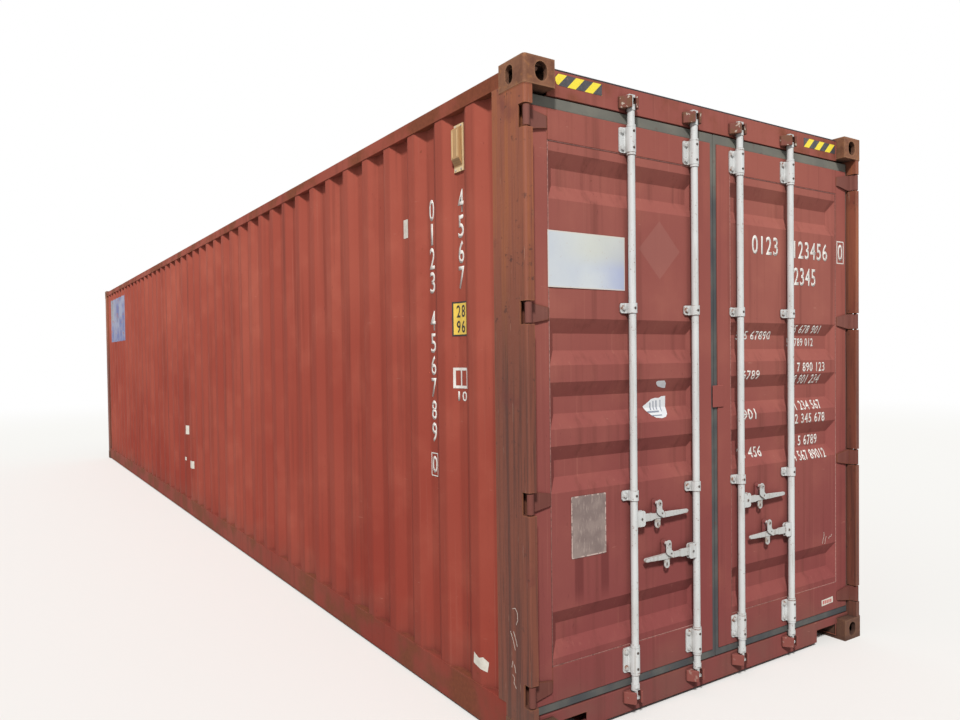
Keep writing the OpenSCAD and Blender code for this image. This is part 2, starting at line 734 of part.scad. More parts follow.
// Handle retainers: base plate, shelf turned down into a ring for a seal, boss and pin of the catch
function catch_pivot(i) = hub_z[i] + catch_up;
module seal_ring() difference() {
    union() {
        translate([0, ring_w / 2 - ring_h]) circle(ring_w / 2);
        translate([-ring_w / 2, ring_w / 2 - ring_h]) square([ring_w, ring_h - ring_w / 2]);
    }
    translate([0, ring_w / 2 - ring_h]) rotate(90) slot_2d(ring_hole + 8, ring_hole);
}
module handle_retainer(i) translate([bar_x[i] + handle_dir[i] * retainer_off[i], 0, 0]) {
    shelf_z = hub_z[i] - handle_h / 2 - shelf_gap;
    plate_z0 = shelf_z - shelf_t - retainer_end;
    plate_z1 = catch_pivot(i) + boss_r + retainer_end / 2;
    translate([0, 0, (plate_z0 + plate_z1) / 2]) along_y(door_face - retainer_t, door_face) rotate(90)
        slot_2d(plate_z1 - plate_z0, retainer_w);
    translate([-ring_w / 2, ring_y, shelf_z - shelf_t])
        cube([ring_w, door_face - retainer_t / 2 - ring_y, shelf_t]);
    translate([0, 0, shelf_z]) along_y(ring_y, ring_y + ring_t) seal_ring();
    translate([0, 0, catch_pivot(i)]) {
        along_y(catch_y + catch_t + catch_fit, door_face - retainer_t / 2) circle(boss_r);
        along_y(catch_y - catch_fit, catch_y + catch_t + catch_fit) circle(catch_pin_r);
        along_y(catch_y - catch_fit - 3, catch_y - catch_fit) circle(boss_r);
    }
}
module handle_retainers(bars) for (i = bars) handle_retainer(i);

// Locking bar with its cams, collars and handle hub
collar_r = bar_r + 4;
collar_h = 10;
neck_r = bar_r + 2.5;
neck_h = 17;
core_r = 11.5;
module cam() {
    cylinder(r = core_r, h = cam_h, center = true);
    for (s = [-1, 1]) translate([0, 0, s * (cam_h - cam_plate) / 2 - cam_plate / 2])
        linear_extrude(cam_plate) intersection() {
            circle(cam_r);
            square([2 * cam_r + cut, 2 * cam_half], center = true);
        }
}
module hub_ear() polygon([[8, -hub_h / 2], [hub_x + 16, -hub_h / 2], [hub_x + 24, -hub_h / 2 + 8],
    [hub_x + 24, hub_h / 2 - 8], [hub_x + 16, hub_h / 2], [8, hub_h / 2]]);
module locking_bar(i) translate([bar_x[i], 0, 0]) {
    translate([0, bar_y, cam_z[0] + cam_h / 2]) cylinder(r = bar_r, h = cam_z[1] - cam_z[0] - cam_h);
    for (n = [0, 1]) translate([0, bar_y, cam_z[n]]) {
        cam();
        translate([0, 0, (1 - 2 * n) * (cam_h + neck_h) / 2]) cylinder(r = neck_r, h = neck_h, center = true);
    }
    for (z = end_bracket_z) for (s = [-1, 1])
        translate([0, bar_y, z + s * (end_bracket_h + collar_h + 2) / 2])
            cylinder(r = collar_r, h = collar_h, center = true);
    translate([0, 0, hub_z[i]]) mirror([handle_dir[i] > 0 ? 0 : 1, 0, 0]) {
        for (y = [handle_y - ear_gap - ear_t, handle_y + handle_t + ear_gap])
            along_y(y, y + ear_t) hub_ear();
        translate([hub_x, 0, 0])
            along_y(handle_y - ear_gap - ear_t - 3, handle_y + handle_t + ear_gap + ear_t + 2)
                circle(hub_pin_r);
    }
}

// Handle: a lever with a round root on the hub pin, tapering to its tip
handle_len = handle_l - hub_x;
module handle_outline() difference() {
    union() {
        circle(handle_root / 2);
        polygon([[0, -handle_root / 2], [72, -handle_root / 2], [92, -handle_h / 2],
            [195, -handle_h / 2], [handle_len - handle_tip / 2, -handle_tip / 2],
            [handle_len - handle_tip / 2, handle_tip / 2], [195, handle_h / 2], [92, handle_h / 2],
            [72, handle_root / 2], [0, handle_root / 2]]);
        translate([handle_len - handle_tip / 2, 0]) circle(handle_tip / 2);
    }
    circle(hub_pin_r + pin_fit);
}
module door_handle(i) translate([bar_x[i] + handle_dir[i] * hub_x, 0, hub_z[i]])
    mirror([handle_dir[i] > 0 ? 0 : 1, 0, 0]) along_y(handle_y, handle_y + handle_t) handle_outline();

// Catch: an arm that hangs from its pin and ends in a foot over the handle
module catch_outline() difference() {
    union() {
        circle(17);
        polygon([[-17, 0], [-17, -42], [-9, -52], [26, -catch_l], [34, -catch_l], [40, -catch_l + 7],
            [40, -catch_l + 16], [33, -43], [17, -30], [17, 0]]);
    }
    circle(catch_pin_r + pin_fit);
    translate([17, -49]) circle(4.5);
}
module handle_catch(i) translate([bar_x[i] + handle_dir[i] * retainer_off[i], 0, catch_pivot(i)])
    along_y(catch_y, catch_y + catch_t) catch_outline();

// Plate welded to the right leaf, which covers the gap between the leaves
overlap_h = 110;
overlap_z0 = leaf_mid_z + 8 - overlap_h / 2;
overlap_x1 = 62;
overlap_t = 6;
module overlap_plate() translate([-leaf_mid + seal_gap, door_face - overlap_t, overlap_z0])
    cube([overlap_x1 + leaf_mid - seal_gap, overlap_t, overlap_h]);

module left_leaf_frame() color(oxide) seated() leaf_frame();
module left_leaf_panel() color(oxide) seated() leaf_panel();
module left_leaf_gasket() color(rubber_dark) seated() leaf_gasket();
module left_leaf_hinges() color(oxide) seated() leaf_hinges();
module left_bar_brackets() color(gear_grey) seated() bar_brackets([0, 1]);
module left_handle_retainers() color(gear_grey) seated() handle_retainers([0, 1]);
module right_leaf_frame() color(oxide) seated() {
    mirror([1, 0, 0]) leaf_frame();
    overlap_plate();
}
module right_leaf_panel() color(oxide) seated() mirror([1, 0, 0]) leaf_panel();
module right_leaf_gasket() color(rubber_dark) seated() mirror([1, 0, 0]) leaf_gasket();
module right_leaf_hinges() color(oxide) seated() mirror([1, 0, 0]) leaf_hinges();
module right_bar_brackets() color(gear_grey) seated() bar_brackets([2, 3]);
module right_handle_retainers() color(gear_grey) seated() handle_retainers([2, 3]);

bottom_corner_castings();
top_door_end_castings();
top_front_end_castings();
rear_post_left();
rear_post_right();
front_corner_posts();
door_header();
door_sill();
top_side_rails();
bottom_side_rails();
front_top_rail();
front_bottom_rail();
side_wall_left();
side_wall_right();
front_wall();
roof_panel();
plywood_floor();
cross_members();
gooseneck_tunnel();
cam_keepers();
ventilators();
left_leaf_frame();
left_leaf_panel();
left_leaf_gasket();
left_leaf_hinges();
left_bar_brackets();
left_handle_retainers();
right_leaf_frame();
right_leaf_panel();
right_leaf_gasket();
right_leaf_hinges();
right_bar_brackets();
right_handle_retainers();
color(bar_grey) seated() locking_bar(0);  // locking_bar_1
color(bar_grey) seated() locking_bar(1);  // locking_bar_2
color(bar_grey) seated() locking_bar(2);  // locking_bar_3
color(bar_grey) seated() locking_bar(3);  // locking_bar_4
color(gear_grey) seated() door_handle(0);  // door_handle_1
color(gear_grey) seated() door_handle(1);  // door_handle_2
color(gear_grey) seated() door_handle(2);  // door_handle_3
color(gear_grey) seated() door_handle(3);  // door_handle_4
color(gear_grey) seated() handle_catch(0);  // handle_catch_1
color(gear_grey) seated() handle_catch(1);  // handle_catch_2
color(gear_grey) seated() handle_catch(2);  // handle_catch_3
color(gear_grey) seated() handle_catch(3);  // handle_catch_4
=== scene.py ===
"""Dresses a packed forty foot shipping container: edges, fasteners, markings, finishes and stage."""

import json
import math

import bmesh
import bpy
from bpy.props import FloatProperty, FloatVectorProperty, PointerProperty
from mathutils import Matrix, Vector
from mathutils.bvhtree import BVHTree


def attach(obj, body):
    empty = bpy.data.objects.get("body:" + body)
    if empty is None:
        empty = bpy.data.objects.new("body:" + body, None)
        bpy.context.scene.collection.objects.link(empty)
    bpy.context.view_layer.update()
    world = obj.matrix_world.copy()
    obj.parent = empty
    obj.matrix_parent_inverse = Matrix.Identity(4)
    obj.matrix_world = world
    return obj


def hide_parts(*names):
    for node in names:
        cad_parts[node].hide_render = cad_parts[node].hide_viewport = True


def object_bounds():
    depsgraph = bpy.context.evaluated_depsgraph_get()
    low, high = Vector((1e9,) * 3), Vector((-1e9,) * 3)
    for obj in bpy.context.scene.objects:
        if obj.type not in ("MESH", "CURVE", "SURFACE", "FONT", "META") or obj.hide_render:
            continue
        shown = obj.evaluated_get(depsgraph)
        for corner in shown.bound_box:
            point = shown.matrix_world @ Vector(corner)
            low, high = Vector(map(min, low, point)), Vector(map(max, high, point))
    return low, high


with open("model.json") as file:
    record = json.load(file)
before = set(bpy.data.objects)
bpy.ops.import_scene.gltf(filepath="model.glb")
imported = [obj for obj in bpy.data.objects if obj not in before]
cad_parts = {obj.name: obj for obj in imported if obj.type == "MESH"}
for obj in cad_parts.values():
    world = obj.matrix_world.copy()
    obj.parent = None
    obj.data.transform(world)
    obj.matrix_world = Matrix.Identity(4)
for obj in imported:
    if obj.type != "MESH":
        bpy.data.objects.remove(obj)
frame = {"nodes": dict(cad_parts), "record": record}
CAD_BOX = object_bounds()

bl_info = {
    "name": "Shipping Container Dresser",
    "version": (1, 0, 0),
    "blender": (4, 5, 0),
    "location": "View3D > Sidebar > Container",
    "description": "Rounds the steel, bolts, marks, paints and stages a shipping container",
    "category": "Object",
}

# Places that follow from the frame
NODES = frame["nodes"]
BODY_OF = {node: body for body, nodes in frame["record"]["behaviour"]["bodies"].items() for node in nodes}
HALF_L = CAD_BOX[1].x
HALF_W = CAD_BOX[1].y
HEIGHT = CAD_BOX[1].z
AXIS_X = Vector((1, 0, 0))
AXIS_Y = Vector((0, 1, 0))
AXIS_Z = Vector((0, 0, 1))
SIDES = ("left", "right")

# Lock gear, looking at the doors: across, up, and inwards from the container's end
BAR_ACROSS = (-0.592, -0.171, 0.171, 0.592)
HANDLE_SIDE = (1, -1, 1, -1)
HUB_UP = (0.912, 0.713, 0.912, 0.713)
RETAINER_OUT = (0.152, 0.208, 0.152, 0.208)
RETAINER_FRONT = 0.036
HUB_OUT = 0.038
HUB_FACE = 0.015
CATCH_UP = 0.060
CATCH_FACE = 0.0117
END_BRACKET_UP = (0.265, 2.640)
END_BOLT_REACH = 0.037
GUIDE_UP = (1.024, 1.880)
BOLT_OUT = 0.039
RIVET_OUT = 0.003
FLANGE_FACE = 0.049
SADDLE_FACE = 0.0092
KEEPER_UP = (0.096, 2.806)
KEEPER_RIVET_OUT = 0.046
KEEPER_FLANGE_FACE = 0.044

# Leaves: faces inwards from the container's end, and the panel's rim across and up
DOOR_FACE = 0.055
PANEL_FACE = 0.058
RIM_ACROSS = (0.1255, 1.0555)
RIM_UP = (0.3325, 2.5795)

# Side walls: corrugation from the doors on, faces inwards, and the ventilators in their first recess
WALL_START = 0.384
WALL_PITCH = 0.278
WALL_OUTER = 0.072
WALL_SLOPE = 0.068
WALL_INNER = WALL_PITCH - WALL_OUTER - 2 * WALL_SLOPE
CREST_IN = 0.008
RECESS_IN = 0.044
VENT_UP = HEIGHT - 0.249
VENT_SCREWS = (0.024, 0.101)
VENT_FOOT = 0.009
VENT_HOOD = 0.030

# Markings: the bare plates' left, right, lower and upper edges, and widths of stripes and chalk
NAME_PLATE = (-1.062, -0.612, 1.960, 2.202)
DATA_PLATE = (-0.944, -0.741, 0.779, 1.051)
STRIPE_PITCH = 0.0985
CHALK_WIDTH = 0.0028


def linear(colour):
    """Turns an ordinary screen colour into the linear one that a shader takes."""
    shades = [c / 12.92 if c <= 0.04045 else ((c + 0.055) / 1.055) ** 2.4 for c in colour[:3]]
    return (*shades, 1.0)


def tint(red, green, blue):
    """A screen colour written as whole numbers from 0 to 255."""
    return linear((red / 255, green / 255, blue / 255))


def paint(name, description, default):
    """A colour that a user may change, as it looks on the screen."""
    return FloatVectorProperty(name=name, description=description, subtype="COLOR_GAMMA",
                               default=default, min=0, max=1)


def length(name, description, default, low, high):
    """A length that a user may change, in metres."""
    return FloatProperty(name=name, description=description, subtype="DISTANCE",
                         default=default, min=low, max=high)


def angle(name, description, degrees):
    """An angle that a user may change."""
    return FloatProperty(name=name, description=description, subtype="ANGLE", default=math.radians(degrees))


class PaintLook(bpy.types.PropertyGroup):
    wall_red: paint("Wall red", "Oxide paint of walls, rails and roof", (0.530, 0.225, 0.185))
    door_red: paint("Door red", "Duller oxide paint of the door end", (0.500, 0.264, 0.258))
    post_brown: paint("Post brown", "Streaked brown of the corner posts", (0.455, 0.255, 0.195))
    casting_brown: paint("Casting brown", "Rust of the corner castings", (0.510, 0.345, 0.255))
    bar_white: paint("Bar white", "Pale paint of bars and brackets", (0.775, 0.785, 0.785))
    gear_grey: paint("Gear grey", "Worn grey of handles and catches", (0.720, 0.725, 0.720))
    rubber_grey: paint("Rubber grey", "Door gaskets", (0.250, 0.260, 0.270))
    number_white: paint("Number white", "Stencilled numbers", (0.860, 0.850, 0.830))
    stripe_yellow: paint("Stripe yellow", "Bright bands beside the upper castings", (0.930, 0.850, 0.250))


class SteelSizes(bpy.types.PropertyGroup):
    press: length("Press radius", "Length that each bend of a pressed sheet takes", 0.009, 0.004, 0.020)
    bead: length("Weld bead", "Radius of a weld bead", 0.0035, 0.001, 0.006)
    bolt: length("Bolt head", "Radius of a bolt head over its corners", 0.0105, 0.006, 0.014)
    rivet: length("Rivet head", "Radius of a rivet head", 0.0060, 0.004, 0.008)
    film: length("Film", "Thickness of paint films and stickers", 0.0005, 0.0002, 0.001)


class StageLook(bpy.types.PropertyGroup):
    lens: FloatProperty(name="Lens", description="Focal length", default=28.40, min=15, max=80)
    eye: FloatVectorProperty(name="Eye", description="Where the camera stands", subtype="TRANSLATION",
                             default=(8.563, -3.083, 1.663))
    heading: angle("Heading", "Turn of the view from straight at the doors", 33.294)
    rise: angle("Rise", "Upward tilt of the view", -1.286)
    roll: angle("Roll", "Lean of the camera", -0.723)
    shift: FloatVectorProperty(name="Shift", description="Offset of the frame", size=2,
                               default=(0.0031, 0.0154))
    sun: FloatProperty(name="Sun", description="Strength of the soft key light", default=3.9, min=0, max=6)
    sky: FloatProperty(name="Sky", description="Strength of the even light", default=0.36, min=0, max=2)


class Wire:
    """A shader socket whose operators add the Math nodes that they stand for."""

    def __init__(self, maker, socket):
        self.maker = maker
        self.socket = socket

    def math(self, operation, *values):
        return self.maker.node("ShaderNodeMath", {"operation": operation}, dict(enumerate((self, *values))))

    def __add__(self, other):
        return self.math("ADD", other)

    def __sub__(self, other):
        return self.math("SUBTRACT", other)

    def __mul__(self, other):
        return self.math("MULTIPLY", other)

    def __truediv__(self, other):
        return self.math("DIVIDE", other)

    def __rsub__(self, other):
        return self.maker.node("ShaderNodeMath", {"operation": "SUBTRACT"}, {0: other, 1: self})

    __radd__ = __add__
    __rmul__ = __mul__

    def rise(self, low, high):
        """0 under low, 1 over high and smooth between them."""
        return self.maker.node("ShaderNodeMapRange", {"interpolation_type": "SMOOTHSTEP"},
                               {"Value": self, "From Min": low, "From Max": high})

    def fall(self, low, high):
        return 1 - self.rise(low, high)

    def off(self, place):
        """Distance from a place."""
        return (self - place).math("ABSOLUTE")

    def most(self, other):
        return self.math("MAXIMUM", other)


class NodeTree:
    """The nodes of a material or a world, added by plain calls."""

    def __init__(self, owner):
        owner.use_nodes = True
        self.tree = owner.node_tree
        self.tree.nodes.clear()

    def node(self, kind, settings=None, inputs=None, output=0):
        """Adds a node: its settings first, then the values or links of its sockets."""
        added = self.tree.nodes.new(kind)
        for key, value in (settings or {}).items():
            setattr(added, key, value)
        for key, value in (inputs or {}).items():
            if isinstance(value, Wire):
                self.tree.links.new(value.socket, added.inputs[key])
            else:
                added.inputs[key].default_value = value
        return Wire(self, added.outputs[output])

    def seen(self):
        """1 for rays that meet the camera straight or in a gloss."""
        straight = self.node("ShaderNodeLightPath", output="Is Camera Ray")
        return straight.most(self.node("ShaderNodeLightPath", output="Is Glossy Ray"))

    def output(self, kind, surface):
        out = self.tree.nodes.new(kind)
        self.tree.links.new(surface.socket, out.inputs["Surface"])


class Finish(NodeTree):
    """One procedural material, read in the container's own coordinates in metres."""

    made = {}

    def __init__(self, name, base=None):
        self.material = bpy.data.materials.new(name)
        super().__init__(self.material)
        self.place = self.node("ShaderNodeTexCoord", output="Object")
        axes = self.node("ShaderNodeSeparateXYZ", None, {0: self.place}).socket.node.outputs
        self.along, self.across, self.up = [Wire(self, axis) for axis in axes]
        self.colour = base
        Finish.made[name] = self.material

    def noise(self, scale, detail=3, rough=0.5, warp=0.0):
        """Clouds of values; a scale of three numbers stretches them along the axes."""
        place = self.place
        if isinstance(scale, tuple):
            place = self.node("ShaderNodeMapping", None, {"Vector": place, "Scale": scale})
            scale = 1
        return self.node("ShaderNodeTexNoise", None, {"Vector": place, "Scale": scale, "Detail": detail,
                                                     "Roughness": rough, "Distortion": warp})

    def openness(self, reach, inside):
        """1 in the open, falling to 0 in corners, or at outer edges when it looks inside."""
        settings = {"samples": 5, "inside": inside, "only_local": inside}
        return self.node("ShaderNodeAmbientOcclusion", settings, {"Distance": reach}, output=1)

    def corners(self, reach, low, high):
        """Painted shade mask: 1 deep in corners and 0 in the open."""
        return self.openness(reach, False).fall(low, high)

    def rims(self, reach, low):
        """1 along outer edges and 0 away from them."""
        return self.openness(reach, True).fall(low, 0.95)

    def borders(self, box, reach):
        """1 at the four edges of a box on the doors, falling to 0 within reach."""
        left, right, low, high = box
        near = 0.0
        for wire, place in ((self.across, left), (self.across, right), (self.up, low), (self.up, high)):
            near = wire.off(place).fall(reach * 0.4, reach).most(near)
        return near

    def mix(self, share, first, second):
        return self.node("ShaderNodeMix", {"data_type": "RGBA"}, {0: share, 6: first, 7: second}, output=2)

    def cover(self, share, red, green, blue):
        """Lays a tint over the colour so far."""
        self.colour = self.mix(share, self.colour, tint(red, green, blue))

    def close(self, rough, relief, depth, gloss=0.5):
        """Joins colour, roughness and relief into the surface."""
        bump = self.node("ShaderNodeBump", None, {"Height": relief, "Distance": depth, "Strength": 1.0})
        surface = self.node("ShaderNodeBsdfPrincipled", None, {
            "Base Color": self.colour, "Roughness": rough, "Specular IOR Level": gloss, "Normal": bump})
        self.output("ShaderNodeOutputMaterial", surface)


def leaf_marks(s):
    """The ghost of a diamond and two drips below the data plate, on the left leaf's outer face."""
    outside = s.along.rise(HALF_L - PANEL_FACE - 0.0014, HALF_L - PANEL_FACE - 0.0006)
    diamond = (s.across.off(-0.383) + s.up.off(2.160)).fall(0.134, 0.140)
    s.cover(diamond * outside * 0.28, 158, 112, 104)
    drips = s.across.off(-0.900).fall(0.019, 0.030).most(s.across.off(-0.748).fall(0.018, 0.029))
    drips = drips * s.up.rise(0.555, 0.65) * s.up.fall(0.80, 0.84)
    s.cover(drips * outside * 0.55, 92, 44, 44)


def oxide_paint(name, base, faded, edges=0.0, spots=1.0, marked=False):
    """Weathered red paint with rain streaks, dust low down, rust spots and worn edges, paler high up partly
    from fading and partly as painted light, with painted shade in corners.
    """
    s = Finish(name)
    patches = s.noise(4.5, 4)
    grain = s.noise(60)
    # Paler in patches from faded paint, and paler towards the top: partly fading, partly painted light on the
    # upper walls.
    chalk = s.noise(0.8, 2).rise(0.35, 0.75) * 0.35 + s.up.rise(0.2, 2.8) * 0.40
    s.colour = s.mix(chalk + patches.rise(0.45, 0.8) * 0.25, base, faded)
    if marked:
        leaf_marks(s)
    dirt = s.noise((17, 17, 0.55), 4, 0.6).rise(0.50, 0.78) * 0.42
    s.cover(dirt, 84, 48, 42)
    s.cover(s.noise((70, 70, 0.9)).rise(0.60, 0.85) * 0.30, 176, 120, 104)
    s.cover(s.up.fall(0.05, 0.42) * (0.25 + 0.75 * patches.rise(0.3, 0.7)) * 0.42, 96, 78, 70)
    # Painted shade: darker in corners and recesses.
    s.cover(s.corners(0.06, 0.35, 0.85) * 0.40, 56, 30, 30)
    mask = s.noise(1.7).rise(0.44, 0.66)
    scars = s.noise((95, 95, 22), 4, 0.7).rise(0.66, 0.70) * mask
    s.cover(scars * 0.75, 82, 40, 42)
    scuffs = s.noise((12, 12, 150), 3, 0.6).rise(0.70, 0.74) * patches.rise(0.50, 0.62)
    s.cover(scuffs * 0.5, 190, 138, 124)
    rust = s.noise(24, 6, 0.72).rise(0.655, 0.69) * mask * spots
    if edges:
        rust = rust.most(s.rims(0.006, 0.55) * patches.rise(0.42, 0.62) * edges)
    s.colour = s.mix(rust * 0.85, s.colour, s.mix(grain, tint(80, 46, 34), tint(134, 80, 52)))
    relief = grain * 0.12 + s.noise(1.6, 1) - rust * 0.3
    s.close(0.66 + grain * 0.14 + dirt * 0.12 + rust * 0.1, relief, 0.0025, 0.08)


def post_paint(brown):
    """Brown post paint, rusty orange high up and darker below, partly painted light above and painted shade
    below, with streaks, pale scratches and painted shade in corners.
    """
    s = Finish("post_paint")
    runs = s.noise((34, 34, 0.9), 5, 0.62)
    fine_runs = s.noise((120, 120, 2.2), 4, 0.6)
    patches = s.noise(5, 4)
    grain = s.noise(90)
    # Orange above and darker below: partly rust, partly painted light on the upper post and painted shade on
    # the lower post.
    high = (s.up + (runs - 0.5) * 0.8).rise(1.5, 2.4)
    fresh = s.mix(high, brown, tint(136, 78, 58))
    streaked = s.mix(high, tint(82, 48, 40), tint(150, 88, 56))
    dark = s.mix(high, tint(58, 34, 30), tint(104, 60, 44))
    s.colour = s.mix(runs.rise(0.42, 0.68), fresh, streaked)
    s.colour = s.mix(fine_runs.rise(0.55, 0.70) * 0.75, s.colour, dark)
    s.cover(patches.rise(0.56, 0.72) * 0.5, 100, 48, 42)
    scratch = s.noise((260, 260, 6), 2).rise(0.72, 0.76) * patches.rise(0.42, 0.55)
    s.cover(scratch * 0.7, 186, 160, 140)
    flakes = s.noise(30, 6, 0.7).rise(0.60, 0.64) * patches.rise(0.40, 0.60)
    s.cover(flakes * 0.8, 72, 42, 36)
    # Painted shade in corners.
    s.cover(s.corners(0.05, 0.3, 0.8) * 0.45, 52, 32, 28)
    s.cover(s.rims(0.005, 0.5) * patches.rise(0.35, 0.6) * 0.55, 150, 98, 64)
    s.cover(s.up.fall(0.1, 0.4) * 0.4, 88, 66, 56)
    s.close(0.58 + grain * 0.2, grain * 0.4 + fine_runs * 0.5, 0.0012, 0.35)


def casting_rust(brown):
    """Rusted cast steel with pits and paler rubbed rims, darker near the ground as painted shade, with
    near-black painted shadow in its corners.
    """
    s = Finish("casting_rust")
    grain = s.noise(170, 4)
    pits = s.node("ShaderNodeTexVoronoi", None, {"Vector": s.place, "Scale": 230})
    s.colour = s.mix(s.noise(14, 5, 0.6).rise(0.32, 0.62), tint(104, 66, 50), brown)
    s.cover(s.noise(38, 4).rise(0.55, 0.75) * 0.6, 158, 106, 66)
    s.cover(s.rims(0.012, 0.45) * 0.35, 170, 128, 94)
    # Painted shade: darker on the lower castings.
    s.cover(s.up.fall(0.3, 0.9) * 0.55, 74, 52, 46)
    # Painted shadow, near black, in corners and under the castings.
    s.cover(s.corners(0.14, 0.25, 0.75) * 0.85, 30, 20, 20)
    s.close(0.72 + grain * 0.15, grain * 0.6 + pits * 0.8, 0.0012, 0.3)


def pale_paint(name, base, chips, grime):
    """Pale paint of the lock gear with chips that show rust, a little grime and painted shade in corners."""
    s = Finish(name, base)
    patches = s.noise(7, 4)
    grain = s.noise(150)
    s.cover(patches.rise(0.35, 0.75) * 0.5, 178, 180, 178)
    s.cover(s.noise((60, 60, 3.0), 4).rise(0.52, 0.78) * grime, 136, 124, 112)
    # Painted shade in corners.
    s.cover(s.corners(0.02, 0.25, 0.8) * 0.55, 70, 56, 48)
    spots = s.noise(75, 5, 0.7).rise(0.62, 0.66) * patches.rise(0.38, 0.52)
    bare = spots.most(s.rims(0.004, 0.55) * s.noise(26).rise(0.50, 0.62)) * chips
    s.colour = s.mix(bare, s.colour, s.mix(grain, tint(96, 58, 42), tint(140, 92, 64)))
    s.close(0.42 + grain * 0.12 + bare * 0.3, grain * 0.3 - bare * 0.6, 0.0008)


def retainer_paint(grey, red):
    """Base plates painted with the door, under a worn grey front, with painted shade in corners."""
    s = Finish("retainer_paint")
    patches = s.noise(40, 5, 0.65)
    grain = s.noise(150)
    worn_grey = s.mix(patches.rise(0.40, 0.62) * 0.8, grey, tint(142, 122, 104))
    worn_red = s.mix(patches.rise(0.5, 0.7) * 0.5, red, tint(96, 54, 48))
    front = s.along.rise(HALF_L - RETAINER_FRONT - 0.0005, HALF_L - RETAINER_FRONT + 0.0005)
    s.colour = s.mix(front, worn_red, worn_grey)
    # Painted shade in corners.
    s.cover(s.corners(0.02, 0.3, 0.85) * 0.65, 58, 40, 34)
    s.close(0.5 + grain * 0.15, grain * 0.4 + patches * 0.3, 0.0008, 0.4)


def keeper_paint():
    """Worn keepers: paint knocked off to rust with pale smears, redder on the sill, with painted shade in
    corners.
    """
    s = Finish("keeper_paint", tint(112, 62, 52))
    patches = s.noise(30, 5, 0.6)
    grain = s.noise(160)
    low = s.up.fall(0.5, 1.0)
    s.cover(patches.rise(0.42, 0.56), 104, 66, 46)
    s.cover(low * 0.9, 126, 68, 62)
    s.cover(s.noise(42).rise(0.60, 0.66) * (1 - low * 0.7) * 0.7, 196, 186, 172)
    # Painted shade in corners.
    s.cover(s.corners(0.02, 0.3, 0.85) * 0.6, 40, 26, 24)
    s.close(0.65 + grain * 0.15, grain * 0.5 + patches * 0.4, 0.001, 0.35)


def rubber(grey):
    """Gasket rubber, paler along its upper runs from dust and painted sunlight."""
    s = Finish("gasket_rubber", grey)
    grain = s.noise(120)
    # Paler high up: partly dust, partly painted light on the upper runs.
    s.cover(s.noise(6, 4).rise(0.35, 0.75) * 0.35 + s.up.rise(2.3, 2.75) * 0.55, 118, 116, 106)
    s.cover(s.noise(20, 4).rise(0.62, 0.72) * 0.4, 92, 60, 54)
    s.close(0.62 + grain * 0.2, grain * 0.3, 0.0006, 0.35)


def plywood():
    """Floor boards with grain along the container, joints and scuffs."""
    s = Finish("plywood", tint(112, 76, 46))
    fibre = s.noise((8, 240, 240))
    s.cover(s.noise((1.2, 26, 26), 5, 0.6, 0.6).rise(0.3, 0.7), 166, 124, 80)
    s.cover(fibre * 0.3, 88, 58, 38)
    s.cover(s.noise(3.2, 5).rise(0.5, 0.7) * 0.45, 96, 84, 72)
    seams = s.across.math("PINGPONG", 0.1925).fall(0.0012, 0.0025)
    seams = seams.most(s.along.math("PINGPONG", 1.2).fall(0.0015, 0.003))
    s.cover(seams * 0.85, 34, 26, 20)
    s.close(0.6 + fibre * 0.2, fibre * 0.3 - seams, 0.002, 0.35)


def moulded_tan():
    """Moulded ventilators: a bleached flange, a browner hood and paler ribs, with painted shade in corners.
    """
    s = Finish("vent_tan")
    grain = s.noise(200, 2)
    out = s.across.math("ABSOLUTE") - (HALF_W - RECESS_IN)
    hood = s.mix(out.rise(VENT_HOOD + 0.0002, VENT_HOOD + 0.0008), tint(176, 138, 92), tint(212, 180, 132))
    s.colour = s.mix(out.rise(VENT_FOOT + 0.0005, VENT_FOOT + 0.003), tint(220, 194, 150), hood)
    s.cover(s.noise((30, 30, 6), 4).rise(0.4, 0.8) * 0.5, 150, 116, 80)
    # Painted shade in corners.
    s.cover(s.corners(0.02, 0.2, 0.8) * 0.6, 90, 64, 44)
    s.close(0.5 + grain * 0.1, grain, 0.0003)


def bare_plate():
    """Bare brownish metal where a plate's print has gone, etched and scratched, with chipped rims."""
    s = Finish("bare_plate", tint(138, 122, 116))
    flecks = s.noise(150, 5, 0.7)
    strokes = s.noise((160, 160, 22), 3, 0.6)
    s.cover(s.noise(18).rise(0.3, 0.7), 118, 102, 98)
    s.cover(strokes.rise(0.56, 0.66) * 0.55, 166, 150, 142)
    s.cover(flecks.rise(0.58, 0.70) * 0.45, 92, 72, 66)
    s.cover(s.borders(DATA_PLATE, 0.008) * s.noise(60).rise(0.45, 0.52), 188, 166, 158)
    s.close(0.5 + flecks * 0.2, flecks + strokes, 0.0004)


def pale_plate():
    """A bleached bare plate, bluer towards its right edge and warm in its upper half."""
    s = Finish("pale_plate", tint(198, 204, 208))
    cloud = s.noise(6)
    across = s.across + cloud * 0.10
    up = s.up + cloud * 0.10
    s.cover(cloud.rise(0.3, 0.8) * 0.6, 182, 190, 204)
    s.cover(across.rise(-0.78, -0.54) * (1 - up.rise(2.13, 2.28) * 0.6) * 0.6, 144, 154, 196)
    s.cover(across.rise(-1.02, -0.72) * up.rise(2.10, 2.18) * 0.35, 204, 202, 168)
    s.cover(s.noise(70, 4, 0.7).rise(0.64, 0.68) * 0.5, 168, 140, 128)
    s.cover(s.borders(NAME_PLATE, 0.007) * 0.7, 208, 196, 184)
    s.close(0.4 + cloud * 0.15, cloud, 0.0003)


